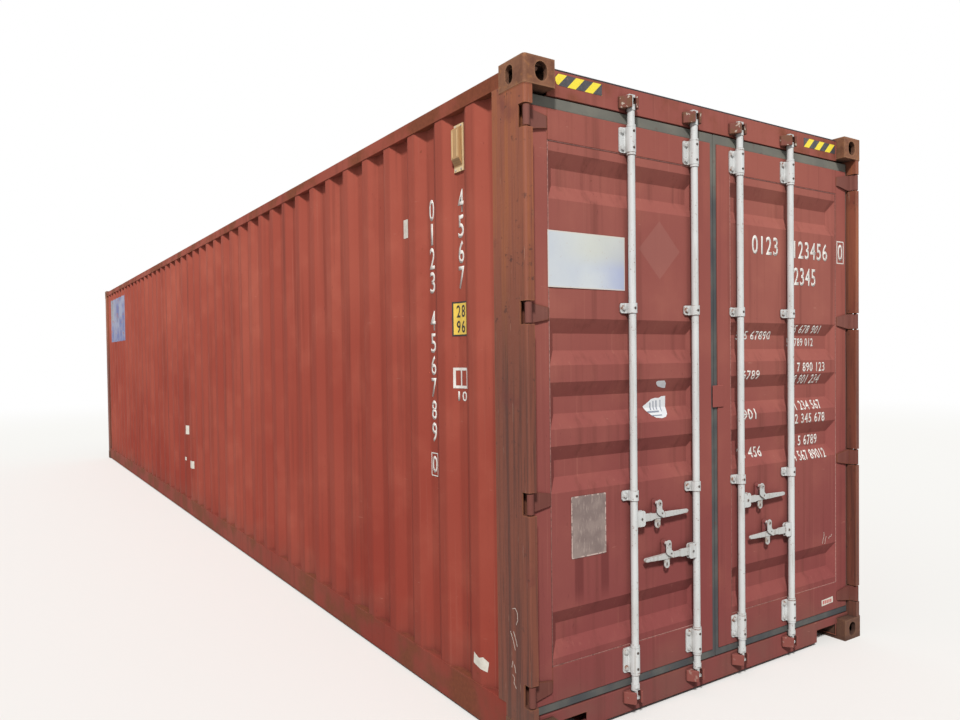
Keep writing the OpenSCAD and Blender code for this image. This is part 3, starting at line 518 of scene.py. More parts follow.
def blue_sheet():
    """A bare blue sticker sheet, bleached and flaked in patches, with warm patches high up that are partly
    painted sunlight.
    """
    s = Finish("blue_sheet", tint(98, 104, 146))
    cloud = s.noise(3.2, 4, 0.6)
    s.cover(cloud.rise(0.36, 0.64), 142, 146, 166)
    # Warm patches high up: partly bleaching, partly painted sunlight.
    s.cover(s.noise(1.3, 2).rise(0.50, 0.62) * s.up.rise(2.30, 2.40) * 0.3, 158, 156, 120)
    s.cover(s.noise(16, 5, 0.7).rise(0.60, 0.63) * 0.8, 150, 84, 72)
    s.close(0.5 + cloud * 0.1, cloud, 0.0003)


def stripes(yellow):
    """Slanting yellow and dark bands with scuffs; the right patch starts elsewhere in its pattern."""
    s = Finish("slanting_stripes")
    scuffs = s.noise(60, 4, 0.65)
    phase = 0.213 - s.across.rise(-0.1, 0.1) * 0.356
    band = ((s.across - s.up) / STRIPE_PITCH + phase).math("FRACT")
    bright = s.mix(scuffs.rise(0.5, 0.75) * 0.4, yellow, tint(200, 170, 50))
    dark = s.mix(scuffs.rise(0.4, 0.7) * 0.5, tint(62, 62, 66), tint(92, 90, 92))
    s.colour = s.mix(band.rise(0.0, 0.015) * band.fall(0.48, 0.495), dark, bright)
    s.cover(scuffs.rise(0.66, 0.70) * 0.7, 170, 96, 70)
    s.close(0.5 + scuffs * 0.1, scuffs, 0.0002)


def film(name, base, worn, share=0.4, scale=9.0, flaked=False):
    """A sticker or a stencilled film, faded in patches, with flakes gone down to the red paint."""
    s = Finish(name)
    grain = s.noise(220, 2)
    s.colour = s.mix(s.noise(scale, 4, 0.6).rise(0.35, 0.75) * share, base, worn)
    if flaked:
        s.cover(s.noise(90, 4, 0.7).rise(0.63, 0.67), 140, 78, 68)
    s.close(0.45 + grain * 0.15, grain, 0.0002)


def plain(name, colour, rough=0.55, spread=0.36):
    """A simple finish with a little grain, for screws, a strip of painted shade, seams and dark print."""
    s = Finish(name, colour)
    grain = s.noise(130)
    s.cover(grain.rise(0.3, 0.8) * spread, 60, 48, 42)
    s.close(rough + grain * 0.15, grain, 0.0004)


def make_finishes():
    """All materials, by name, made once."""
    look = bpy.context.scene.container_paint
    shade = {name: linear(getattr(look, name)) for name in PaintLook.__annotations__}
    oxide_paint("wall_red", shade["wall_red"], tint(168, 92, 76))
    oxide_paint("door_red", shade["door_red"], tint(160, 98, 86), spots=0.8, marked=True)
    oxide_paint("frame_red", shade["door_red"], tint(158, 94, 82), edges=0.8)
    oxide_paint("hinge_brown", tint(106, 60, 54), tint(128, 86, 78), edges=0.9)
    oxide_paint("rail_red", shade["wall_red"], tint(164, 94, 78), edges=0.9, spots=1.2)
    post_paint(shade["post_brown"])
    casting_rust(shade["casting_brown"])
    pale_paint("bar_paint", shade["bar_white"], 0.9, 0.45)
    pale_paint("gear_paint", shade["gear_grey"], 1.0, 0.6)
    keeper_paint()
    retainer_paint(shade["gear_grey"], shade["door_red"])
    rubber(shade["rubber_grey"])
    plywood()
    moulded_tan()
    bare_plate()
    pale_plate()
    blue_sheet()
    stripes(shade["stripe_yellow"])
    film("number_paint", shade["number_white"], tint(176, 162, 152), flaked=True)
    film("sticker_white", tint(212, 214, 216), tint(176, 182, 194))
    film("sticker_print", tint(122, 128, 142), tint(150, 154, 164))
    film("tag_white", tint(206, 202, 192), tint(160, 150, 138), scale=30)
    film("tag_red", tint(176, 84, 80), tint(196, 130, 122), scale=60)
    film("plate_yellow", tint(222, 188, 78), tint(170, 142, 62), scale=14)
    film("chalk", tint(206, 196, 186), tint(150, 120, 110), share=0.9, scale=160)
    plain("plate_black", tint(30, 29, 30))
    plain("dark_steel", tint(70, 58, 52), rough=0.5)
    # Near-black strip of painted shade along the header's top edge.
    plain("sealant", tint(46, 42, 46), rough=0.7)
    plain("rubbed_seam", tint(158, 108, 100), spread=0.9)


# Helpers that do by code what the hand does in the viewport

def select_none():
    bpy.ops.object.select_all(action="DESELECT")


def only(piece):
    """Selects one object alone and makes it the active one."""
    select_none()
    piece.select_set(True)
    bpy.context.view_layer.objects.active = piece


def edit_all(piece):
    """Enters edit mode with all of one object selected."""
    only(piece)
    bpy.ops.object.mode_set(mode="EDIT")
    bpy.ops.mesh.select_all(action="SELECT")


def edit_edges(piece, wanted):
    """Enters edit mode with just the wanted edges selected."""
    only(piece)
    bpy.ops.object.mode_set(mode="EDIT")
    bpy.ops.mesh.select_mode(type="EDGE")
    bpy.ops.mesh.select_all(action="DESELECT")
    for edge in bmesh.from_edit_mesh(piece.data).edges:
        if wanted(edge):
            edge.select_set(True)
    bmesh.update_edit_mesh(piece.data)


def object_mode():
    bpy.ops.object.mode_set(mode="OBJECT")


def bend(edge):
    """Angle between the two faces at an edge, in degrees."""
    return math.degrees(edge.calc_face_angle(0))


def apply_all(piece):
    """Applies the modifiers and puts the object's place into its mesh."""
    only(piece)
    for modifier in list(piece.modifiers):
        bpy.ops.object.modifier_apply(modifier=modifier.name)
    bpy.ops.object.transform_apply(location=True, rotation=True, scale=True)


def smooth(piece, angle=30):
    only(piece)
    bpy.ops.object.shade_smooth_by_angle(angle=math.radians(angle))


def joined(pieces):
    """Joins several objects into the first."""
    select_none()
    for piece in pieces:
        piece.select_set(True)
    bpy.context.view_layer.objects.active = pieces[0]
    if len(pieces) > 1:
        bpy.ops.object.join()
    return bpy.context.view_layer.objects.active


def dress(pieces, name, finish, body, stands_for=()):
    """Joins finished pieces under one name, paints them and hangs them on their body."""
    piece = joined(pieces)
    piece.name = name
    piece.data.name = name
    piece.data.materials.clear()
    piece.data.materials.append(Finish.made[finish])
    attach(piece, body)
    if stands_for:
        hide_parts(*stands_for)


def spread(template, places, turn):
    """Copies of a template at all its places, turned and joined into one mesh; the template goes."""
    twins = []
    for place in places:
        twin = template.copy()
        twin.data = template.data.copy()
        bpy.context.scene.collection.objects.link(twin)
        twin.matrix_world = Matrix.Translation(place) @ turn.to_4x4()
        twins.append(twin)
    bpy.data.objects.remove(template)
    whole = joined(twins)
    apply_all(whole)
    return whole


def door_point(across, inwards, up):
    return Vector((HALF_L - inwards, across, up))


# A turn that lays a piece modelled on the floor plan against each side of the container
FACING = {
    "doors": Matrix((AXIS_Y, AXIS_Z, AXIS_X)).transposed(),
    "left": Matrix((AXIS_X, AXIS_Z, -AXIS_Y)).transposed(),
    "right": Matrix((-AXIS_X, AXIS_Z, AXIS_Y)).transposed(),
}


def rounded(node, width, wanted=None, segments=2):
    """A copy of a node with its outer edges rounded, or only the wanted ones."""
    piece = bpy.data.objects.new(node + "_steel", NODES[node].data.copy())
    bpy.context.scene.collection.objects.link(piece)
    edit_all(piece)
    bpy.ops.mesh.remove_doubles(threshold=0.00002)
    bpy.ops.mesh.dissolve_limited(angle_limit=math.radians(0.5))
    object_mode()
    edit_edges(piece, wanted or (lambda edge: bend(edge) > 35))
    bpy.ops.mesh.bevel(offset=width, segments=segments, affect="EDGES", clamp_overlap=True)
    object_mode()
    smooth(piece)
    weigh = piece.modifiers.new("even flats", "WEIGHTED_NORMAL")
    weigh.keep_sharp = True
    bpy.ops.object.modifier_apply(modifier=weigh.name)
    return piece


# Nodes whose edges are rounded: finish and width of the rounding
ROUNDED = {
    "bottom_corner_castings": ("casting_rust", 0.0040),
    "top_door_end_castings": ("casting_rust", 0.0040),
    "top_front_end_castings": ("casting_rust", 0.0040),
    "rear_post_left": ("post_paint", 0.0020),
    "rear_post_right": ("post_paint", 0.0020),
    "front_corner_posts": ("post_paint", 0.0020),
    "door_header": ("frame_red", 0.0020),
    "door_sill": ("frame_red", 0.0025),
    "top_side_rails": ("rail_red", 0.0040),
    "bottom_side_rails": ("rail_red", 0.0015),
    "front_top_rail": ("rail_red", 0.0020),
    "front_bottom_rail": ("rail_red", 0.0020),
    "cam_keepers": ("keeper_paint", 0.0030),
    "ventilators": ("vent_tan", 0.0015),
}
ROUNDED_ON_BOTH_LEAVES = {
    "leaf_frame": ("frame_red", 0.0040),
    "leaf_gasket": ("gasket_rubber", 0.0025),
    "leaf_hinges": ("hinge_brown", 0.0030),
    "bar_brackets": ("bar_paint", 0.0020),
    "handle_retainers": ("retainer_paint", 0.0010),
}
ROUNDED_FOUR_TIMES = {
    "locking_bar": ("bar_paint", 0.0015),
    "door_handle": ("gear_paint", 0.0025),
    "handle_catch": ("gear_paint", 0.0008),
}
PLAIN_NODES = {"plywood_floor": "plywood", "cross_members": "rail_red", "gooseneck_tunnel": "rail_red",
               "roof_panel": "wall_red"}


class CONTAINER_OT_round_steel(bpy.types.Operator):
    """Rounds the edges of castings, posts, tubes and lock gear, and paints the nodes that stay as they are"""
    bl_idname = "container.round_steel"
    bl_label = "Round the Steel"

    def execute(self, context):
        jobs = dict(ROUNDED)
        jobs.update({"%s_%s" % (side, node): job
                     for node, job in ROUNDED_ON_BOTH_LEAVES.items() for side in SIDES})
        jobs.update({"%s_%d" % (node, n): job
                     for n in range(1, 5) for node, job in ROUNDED_FOUR_TIMES.items()})
        for node, (finish, width) in jobs.items():
            dress([rounded(node, width)], node + "_steel", finish, BODY_OF[node], [node])
        for node, finish in PLAIN_NODES.items():
            NODES[node].data.materials.clear()
            NODES[node].data.materials.append(Finish.made[finish])
        return {"FINISHED"}


def pressed(edge):
    """A bend of a pressed sheet, neither flat nor a cut edge."""
    return 12 < bend(edge) < 80


def upright_bend(edge):
    """An edge of a corrugated wall's bends, which run the whole height."""
    along = edge.verts[1].co - edge.verts[0].co
    return abs(along.z) > 1.0 and pressed(edge)


def trough_bend(edge):
    """An edge of a pressed trough, away from the sheet's own rim."""
    middle = (edge.verts[0].co + edge.verts[1].co) / 2
    return edge.calc_length() > 0.02 and pressed(edge) and 0.35 < middle.z < 2.56


class CONTAINER_OT_press_sheets(bpy.types.Operator):
    """Gives the bends of the corrugated walls and the door sheets their pressed radius"""
    bl_idname = "container.press_sheets"
    bl_label = "Press the Sheets"

    def execute(self, context):
        press = context.scene.container_steel.press
        for node, finish, width, wanted in (
                ("side_wall_left", "wall_red", press, upright_bend),
                ("side_wall_right", "wall_red", press, upright_bend),
                ("front_wall", "wall_red", press * 0.8, upright_bend),
                ("left_leaf_panel", "door_red", press * 0.7, trough_bend),
                ("right_leaf_panel", "door_red", press * 0.7, trough_bend)):
            sheet = rounded(node, width, wanted, segments=3)
            dress([sheet], node + "_sheet", finish, BODY_OF[node], [node])
        return {"FINISHED"}


def screw_head(radius, height, sides, top_bevel):
    """A bolt or rivet head lying on the floor plan with its top bevelled."""
    select_none()
    bpy.ops.mesh.primitive_cylinder_add(vertices=sides, radius=radius, depth=height,
                                        location=(0, 0, height / 2))
    head = bpy.context.active_object
    edit_edges(head, lambda edge: all(v.co.z > 0 for v in edge.verts))
    bpy.ops.mesh.bevel(offset=top_bevel, segments=2, affect="EDGES")
    object_mode()
    apply_all(head)
    smooth(head, 40)
    return head


def washered_bolt(radius, height):
    """A hexagon head on its washer."""
    washer = screw_head(radius * 1.35, 0.002, 20, 0.0006)
    head = screw_head(radius, height, 6, 0.0012)
    head.location.z = 0.0018
    whole = joined([washer, head])
    apply_all(whole)
    return whole


class CONTAINER_OT_bolt_lock_gear(bpy.types.Operator):
    """Bolts and rivets of the bar brackets, guides, keepers, catches and handle hubs"""
    bl_idname = "container.bolt_lock_gear"
    bl_label = "Bolt the Lock Gear"

    def execute(self, context):
        sizes = context.scene.container_steel
        turn = FACING["doors"]
        rows = [up + s * END_BOLT_REACH for up in END_BRACKET_UP for s in (-1, 1)] + list(GUIDE_UP)
        for side, bars in zip(SIDES, ((0, 1), (2, 3))):
            bolts = []
            rivets = []
            dimples = []
            for bar in bars:
                across = BAR_ACROSS[bar]
                catch = across + HANDLE_SIDE[bar] * RETAINER_OUT[bar]
                bolts += [door_point(across - BOLT_OUT, FLANGE_FACE, up) for up in rows]
                rivets += [door_point(across - RIVET_OUT, SADDLE_FACE, up) for up in rows]
                dimples.append(door_point(catch, CATCH_FACE, HUB_UP[bar] + CATCH_UP))
                hub = screw_head(sizes.rivet * 0.8, 0.0022, 16, 0.0008)
                pin = door_point(across + HANDLE_SIDE[bar] * HUB_OUT, HUB_FACE, HUB_UP[bar])
                name = "bar_%d" % (bar + 1)
                dress([spread(hub, [pin], turn)], name + "_hub_rivet", "dark_steel", name)
            door = side + "_door"
            heads = spread(washered_bolt(sizes.bolt, 0.006), bolts, turn)
            dress([heads], side + "_bracket_bolts", "gear_paint", door)
            studs = spread(screw_head(sizes.rivet, 0.0035, 14, 0.0015), rivets, turn)
            dress([studs], side + "_saddle_rivets", "dark_steel", door)
            tacks = spread(screw_head(sizes.rivet * 0.7, 0.0018, 14, 0.0006), dimples, turn)
            dress([tacks], side + "_catch_rivets", "dark_steel", door)
        keepers = [door_point(across - KEEPER_RIVET_OUT, KEEPER_FLANGE_FACE, up)
                   for across in BAR_ACROSS for up in KEEPER_UP]
        heads = spread(screw_head(0.006, 0.004, 14, 0.0015), keepers, turn)
        dress([heads], "keeper_rivets", "dark_steel", "frame")
        return {"FINISHED"}


def bead(points, radius, closed=False):
    """A weld bead or sealant strip along a line of points."""
    select_none()
    bpy.ops.curve.primitive_nurbs_path_add(location=(0, 0, 0))
    line = bpy.context.active_object
    line.data.splines.clear()
    spline = line.data.splines.new("POLY")
    spline.points.add(len(points) - 1)
    for point, place in zip(spline.points, points):
        point.co = (*place, 1)
    spline.use_cyclic_u = closed
    line.data.dimensions = "3D"
    line.data.bevel_depth = radius
    line.data.bevel_resolution = 1
    line.data.use_fill_caps = True
    bpy.ops.object.convert(target="MESH")
    tube = bpy.context.active_object
    smooth(tube, 60)
    return tube


# Seams: the foot of the walls, the castings' edges, and the ends of the header and the sill
WALL_FOOT_UP = 0.1745
WALL_FOOT_FROM = 0.237
WALL_FOOT_TO = 2 * HALF_L - 0.192
CASTING_SEAM_UP = 0.1195
POST_FACE = 0.0045
POST_CORNER = 0.012
POST_INNER_CORNER = 0.042
CASTING_END = 0.172
BEAM_END = 0.162
BEAM_FACE = 0.054
BEAM_SEAMS = ((HEIGHT - 0.126, HEIGHT - 0.018), (0.090, 0.116))
STILE_SEAMS = ((0.178, 0.330), (2.582, 2.714))
STILE_ACROSS = (0.124, 1.057)


def wall_foot(side):
    """Points that follow the outer face of a side wall, a little outside of it."""
    corners = [(WALL_FOOT_FROM, RECESS_IN)]
    first = WALL_START
    while first + WALL_OUTER + WALL_SLOPE < WALL_FOOT_TO:
        last = first + WALL_OUTER
        corners += [(first - WALL_SLOPE, RECESS_IN), (first, CREST_IN), (last, CREST_IN),
                    (last + WALL_SLOPE, RECESS_IN)]
        first += WALL_PITCH
    corners.append((WALL_FOOT_TO, RECESS_IN))
    return [Vector((HALF_L - along, side * (HALF_W - inwards + 0.001), WALL_FOOT_UP))
            for along, inwards in corners]


def casting_seam(end, side, up):
    """Points round a post where it meets a casting, from the wall to the end's beam."""
    x = end * (HALF_L - POST_FACE)
    y = side * (HALF_W - POST_FACE)
    return [Vector((x, side * (HALF_W - POST_INNER_CORNER), up)),
            Vector((x, side * (HALF_W - POST_CORNER), up)),
            Vector((end * (HALF_L - POST_CORNER), y, up)),
            Vector((end * (HALF_L - CASTING_END), y, up))]


class CONTAINER_OT_run_welds(bpy.types.Operator):
    """Weld beads between walls, rails, posts and castings, and a dark strip of painted shade over the header
    """
    bl_idname = "container.run_welds"
    bl_label = "Run the Welds"

    def execute(self, context):
        radius = context.scene.container_steel.bead
        beads = [bead(wall_foot(side), radius) for side in (-1, 1)]
        dress(beads, "wall_foot_welds", "rail_red", "frame")
        beads = [bead(casting_seam(end, side, up), radius * 1.1)
                 for side in (-1, 1) for up in (CASTING_SEAM_UP, HEIGHT - CASTING_SEAM_UP) for end in (-1, 1)]
        dress(beads, "casting_welds", "post_paint", "frame")
        beads = [bead([door_point(side * (HALF_W - BEAM_END), BEAM_FACE, up) for up in seam], radius)
                 for side in (-1, 1) for seam in BEAM_SEAMS]
        dress(beads, "header_welds", "frame_red", "frame")
        # A dark strip along the header's top front edge: painted shade.
        strip = [door_point(side * (HALF_W - 0.164), 0.058, HEIGHT - 0.0135) for side in (-1, 1)]
        dress([bead(strip, 0.0045)], "header_painted_shade_strip", "sealant", "frame")
        for side, name in zip((-1, 1), SIDES):
            beads = [bead([door_point(side * across, DOOR_FACE + 0.0006, up) for up in seam], 0.0018)
                     for across in STILE_ACROSS for seam in STILE_SEAMS]
            dress(beads, name + "_leaf_welds", "frame_red", name + "_door")
            near, far = RIM_ACROSS
            low, high = RIM_UP
            rim = [door_point(side * across, PANEL_FACE, up)
                   for across, up in ((near, low), (far, low), (far, high), (near, high))]
            seam = bead(rim, 0.0028, closed=True)
            dress([seam], name + "_panel_seam", "rubbed_seam", name + "_door")
        return {"FINISHED"}


class CONTAINER_OT_screw_ventilators(bpy.types.Operator):
    """Four screws in the flange of each ventilator"""
    bl_idname = "container.screw_ventilators"
    bl_label = "Screw the Ventilators"

    def execute(self, context):
        middle = WALL_START + WALL_OUTER + WALL_SLOPE + WALL_INNER / 2
        across, up = VENT_SCREWS
        screws = []
        for side, facing in zip((-1, 1), SIDES):
            face = side * (HALF_W - RECESS_IN + VENT_FOOT)
            places = [Vector((HALF_L - middle + a, face, VENT_UP + b))
                      for a in (-across, across) for b in (-up, up)]
            screws.append(spread(screw_head(0.0048, 0.003, 12, 0.001), places, FACING[facing]))
        dress(screws, "ventilator_screws", "gear_paint", "frame")
        return {"FINISHED"}


# Markings that follow the surface they are stuck or painted on

class Ground:
    """A surface that markings are laid on: some pieces, and the side from which they are seen."""

    def __init__(self, facing, *names):
        verts = []
        faces = []
        for name in names:
            mesh = bpy.data.objects[name].data
            shift = len(verts)
            verts += [v.co.copy() for v in mesh.vertices]
            faces += [[shift + v for v in p.vertices] for p in mesh.polygons]
        self.tree = BVHTree.FromPolygons(verts, faces)
        self.right = FACING[facing].col[0].copy()
        self.out = FACING[facing].col[2].copy()
        self.facing = facing

    def ends(self, near, far):
        """Left and right as the reader of a wall sees them, from distances to the doors."""
        return (far, near) if self.facing == "left" else (near, far)

    def point(self, along, up):
        """A point in front of this side; along is measured to the right, or from the doors on a wall."""
        if self.facing == "doors":
            base = Vector((HALF_L, along, up))
        else:
            base = Vector((HALF_L - along, self.out.y * HALF_W, up))
        return base + self.out * 0.05

    def lay(self, piece, lift):
        """Moves every vertex onto the surface, a little above it."""
        for vertex in piece.data.vertices:
            start = vertex.co + self.out * 0.3
            hit = self.tree.ray_cast(start, -self.out)[0]
            if hit is None:
                raise RuntimeError("%s hangs over the edge at %s" % (piece.name, tuple(vertex.co)))
            vertex.co = hit + self.out * lift

    def film(self, piece, step=0.0, axis=2, lift=0.0004):
        """Cuts a flat piece at steps along an axis, lays it on what is below and gives it its thickness."""
        edit_all(piece)
        if step:
            spots = [v.co[axis] for v in bmesh.from_edit_mesh(piece.data).verts]
            across = Vector([float(n == axis) for n in range(3)])
            for n in range(math.ceil(min(spots) / step), math.floor(max(spots) / step) + 1):
                if min(spots) < n * step < max(spots):
                    bpy.ops.mesh.select_all(action="SELECT")
                    bpy.ops.mesh.bisect(plane_co=across * n * step, plane_no=across)
        object_mode()
        self.lay(piece, lift)
        thick = piece.modifiers.new("thickness", "SOLIDIFY")
        thick.thickness = bpy.context.scene.container_steel.film
        thick.offset = 1
        apply_all(piece)
        return piece


def face_out(sheet, ground):
    """Turns a flat sheet's faces towards the side from which it is seen."""
    if sheet.data.polygons[0].normal.dot(ground.out) < 0:
        edit_all(sheet)
        bpy.ops.mesh.flip_normals()
        object_mode()


def flat_shape(ground, outline):
    """A flat many-sided sheet facing the viewer, from points given along and up."""
    select_none()
    bpy.ops.mesh.primitive_circle_add(vertices=len(outline), radius=0.1, fill_type="NGON")
    sheet = bpy.context.active_object
    for vertex, (along, up) in zip(sheet.data.vertices, outline):
        vertex.co = ground.point(along, up)
    face_out(sheet, ground)
    return sheet


def rectangle(ground, left, right, low, high):
    return flat_shape(ground, [(left, low), (right, low), (right, high), (left, high)])


def round_rectangle(ground, left, right, low, high, radius):
    """A rectangle on the doors whose corners are cut a little round."""
    points = []
    for n, (along, up) in enumerate(((right - radius, high - radius), (left + radius, high - radius),
                                     (left + radius, low + radius), (right - radius, low + radius))):
        for turn in (0, 30, 60, 90):
            way = math.radians(n * 90 + turn)
            points.append((along + radius * math.cos(way), up + radius * math.sin(way)))
    return flat_shape(ground, points)


def digits(ground, text, left, right, low, high):
    """Plain digits drawn to fill a box; left and right are as the reader sees them."""
    select_none()
    bpy.ops.object.text_add(location=(0, 0, 0))
    words = bpy.context.active_object
    words.data.body = text
    words.data.resolution_u = 4
    words.data.space_character = 1.12
    words.data.offset = 0.014
    bpy.ops.object.convert(target="MESH")
    mark = bpy.context.active_object
    xs = [v.co.x for v in mark.data.vertices]
    ys = [v.co.y for v in mark.data.vertices]
    start = ground.point(left, low)
    width = (ground.point(right, high) - start).dot(ground.right)
    if text == "1":
        start += ground.right * width * 0.3
        width *= 0.4
    for vertex in mark.data.vertices:
        across = (vertex.co.x - min(xs)) / (max(xs) - min(xs)) * width
        rise = (vertex.co.y - min(ys)) / (max(ys) - min(ys)) * (high - low)
        vertex.co = start + ground.right * across + AXIS_Z * rise
    edit_all(mark)
    bpy.ops.mesh.remove_doubles(threshold=0.00001)
    object_mode()
    face_out(mark, ground)
    return mark


def counted(pattern, first):
    """Puts digits in counting order in place of each # in a pattern."""
    text = ""
    for sign in pattern:
        text += str(first % 10) if sign == "#" else sign
        first += sign == "#"
    return text


def ring(ground, left, right, low, high, width):
    """Four strips that frame a box."""
    step = math.copysign(width, right - left)
    return [rectangle(ground, left, right, low, low + width),
            rectangle(ground, left, right, high - width, high),
            rectangle(ground, left, left + step, low + width, high - width),
            rectangle(ground, right - step, right, low + width, high - width)]


# Rows on the right leaf: pattern, left and right ends and lower and upper edges
DOOR_ROWS = (
    ("####", 0.303, 0.522, 2.189, 2.287),
    ("######", 0.664, 0.977, 2.187, 2.284),
    ("####", 0.664, 0.863, 2.039, 2.137),
    ("### #####", 0.208, 0.495, 1.739, 1.786),
    ("## ### ###", 0.650, 0.926, 1.775, 1.821),
    ("## ### ###", 0.642, 0.889, 1.704, 1.750),
    ("####", 0.222, 0.363, 1.530, 1.579),
    ("# ### ###", 0.690, 0.948, 1.562, 1.614),
    ("# ### ###", 0.676, 0.920, 1.494, 1.546),
    ("###", 0.226, 0.334, 1.321, 1.377),
    ("## ### ###", 0.645, 0.924, 1.350, 1.401),
    ("## ### ###", 0.645, 0.947, 1.276, 1.330),
    ("## ###", 0.212, 0.413, 1.116, 1.172),
    ("## # ####", 0.660, 0.923, 1.146, 1.204),
    ("# ### #####", 0.662, 0.965, 1.068, 1.122),
)
# Upper edge of each digit in the tall columns on the walls, the first four taller than the rest
COLUMN_TOPS = (2.455, 2.335, 2.215, 2.095, 1.900, 1.788, 1.676, 1.564, 1.452, 1.340)


def wall_column(wall, tops, near, far, first):
    """Digits one under another in a wall's recess; near is the edge nearer the doors."""
    marks = []
    for count, top in enumerate(tops):
        tall = 0.107 if top > 2.0 else 0.098
        digit = digits(wall, str((first + count) % 10), *wall.ends(near, far), top - tall, top)
        marks.append(wall.film(digit))
    return marks


class CONTAINER_OT_stencil_numbers(bpy.types.Operator):
    """Rows of plain counting digits on the right leaf, and columns of them with framed signs on both walls"""
    bl_idname = "container.stencil_numbers"
    bl_label = "Stencil the Numbers"

    def execute(self, context):
        leaf = Ground("doors", "right_leaf_panel_sheet", "right_leaf_frame_steel")
        marks = [leaf.film(digits(leaf, counted(pattern, order), *box), step=0.006)
                 for order, (pattern, *box) in enumerate(DOOR_ROWS)]
        marks += [leaf.film(strip) for strip in ring(leaf, 1.066, 1.136, 2.180, 2.310, 0.006)]
        marks.append(leaf.film(digits(leaf, "0", 1.079, 1.123, 2.197, 2.292)))
        dress(marks, "door_numbers", "number_paint", "right_door")
        for name in SIDES:
            wall = Ground(name, "side_wall_%s_sheet" % name)
            marks = wall_column(wall, COLUMN_TOPS, 0.808, 0.856, 0)
            marks += wall_column(wall, COLUMN_TOPS[:4], 0.535, 0.583, 4)
            marks += [wall.film(strip) for strip in ring(wall, *wall.ends(0.800, 0.866), 1.070, 1.188, 0.005)]
            marks.append(wall.film(digits(wall, "0", *wall.ends(0.810, 0.856), 1.086, 1.172)))
            left, right = wall.ends(0.512, 0.622)
            strips = ring(wall, left, right, 1.519, 1.617, 0.013)
            inner = math.copysign(0.046, right - left)
            strips.append(rectangle(wall, left + inner, left + inner * 1.22, 1.532, 1.604))
            marks += [wall.film(strip, step=0.006, axis=0) for strip in strips]
            sign = digits(wall, "10", *wall.ends(0.525, 0.598), 1.459, 1.505)
            marks.append(wall.film(sign, step=0.006, axis=0))
            dress(marks, name + "_wall_numbers", "number_paint", "frame")
        return {"FINISHED"}


# Flat scraps on the left leaf: outlines of the torn sticker's two pieces, and boxes of its print
STICKER_UPPER = ((-0.405, 1.538), (-0.393, 1.543), (-0.350, 1.543), (-0.335, 1.530), (-0.328, 1.507),
                 (-0.348, 1.508), (-0.384, 1.517), (-0.399, 1.528))
STICKER_LOWER = ((-0.470, 1.423), (-0.440, 1.440), (-0.413, 1.456), (-0.386, 1.461), (-0.362, 1.459),
                 (-0.344, 1.467), (-0.317, 1.468), (-0.319, 1.404), (-0.323, 1.382), (-0.338, 1.369),
                 (-0.366, 1.364), (-0.405, 1.368), (-0.435, 1.384), (-0.458, 1.405))
STICKER_PRINT = ((-0.448, -0.372, 1.392, 1.400), (-0.430, -0.360, 1.376, 1.381),
                 (-0.356, -0.351, 1.395, 1.450), (-0.425, -0.418, 1.404, 1.440),
                 (-0.404, -0.398, 1.404, 1.446), (-0.384, -0.377, 1.404, 1.448))
# Small tags: a slanting one on the right leaf, and boxes and a torn scrap on the left wall
LEAF_TAG = ((0.912, 0.216), (1.022, 0.222), (1.020, 0.256), (0.910, 0.250))
NEAR_TAG = (1.132, 1.083, 2.301, 2.399)
FAR_TAGS = ((6.216, 6.168, 0.866, 0.962), (6.014, 5.912, 0.519, 0.598), (6.262, 6.212, 0.578, 0.615))
WALL_SCRAP = ((0.440, 0.262), (0.352, 0.240), (0.345, 0.285), (0.372, 0.305), (0.398, 0.296), (0.436, 0.312))


def height_plate(wall, name):
    """A yellow plate in a dark border with the container's height in millimetres, two digits to a row."""
    left, right = wall.ends(0.507, 0.624)
    step = math.copysign(0.008, right - left)
    pieces = [wall.film(rectangle(wall, left, right, 1.766, 1.930), step=0.006, axis=0)]
    text = "%d" % round(HEIGHT * 1000)
    for n, sign in enumerate(text):
        start = left + step * (8 if n % 2 else 3)
        low = 1.855 if n < 2 else 1.782
        figure = digits(wall, sign, start, start + step * 3.5, low, low + 0.058)
        pieces.append(wall.film(figure, step=0.006, axis=0, lift=0.0018))
    dress(pieces, name + "_plate_black", "plate_black", "frame")
    face = rectangle(wall, left + step, right - step, 1.774, 1.922)
    face = wall.film(face, step=0.006, axis=0, lift=0.0011)
    dress([face], name + "_height_plate", "plate_yellow", "frame")


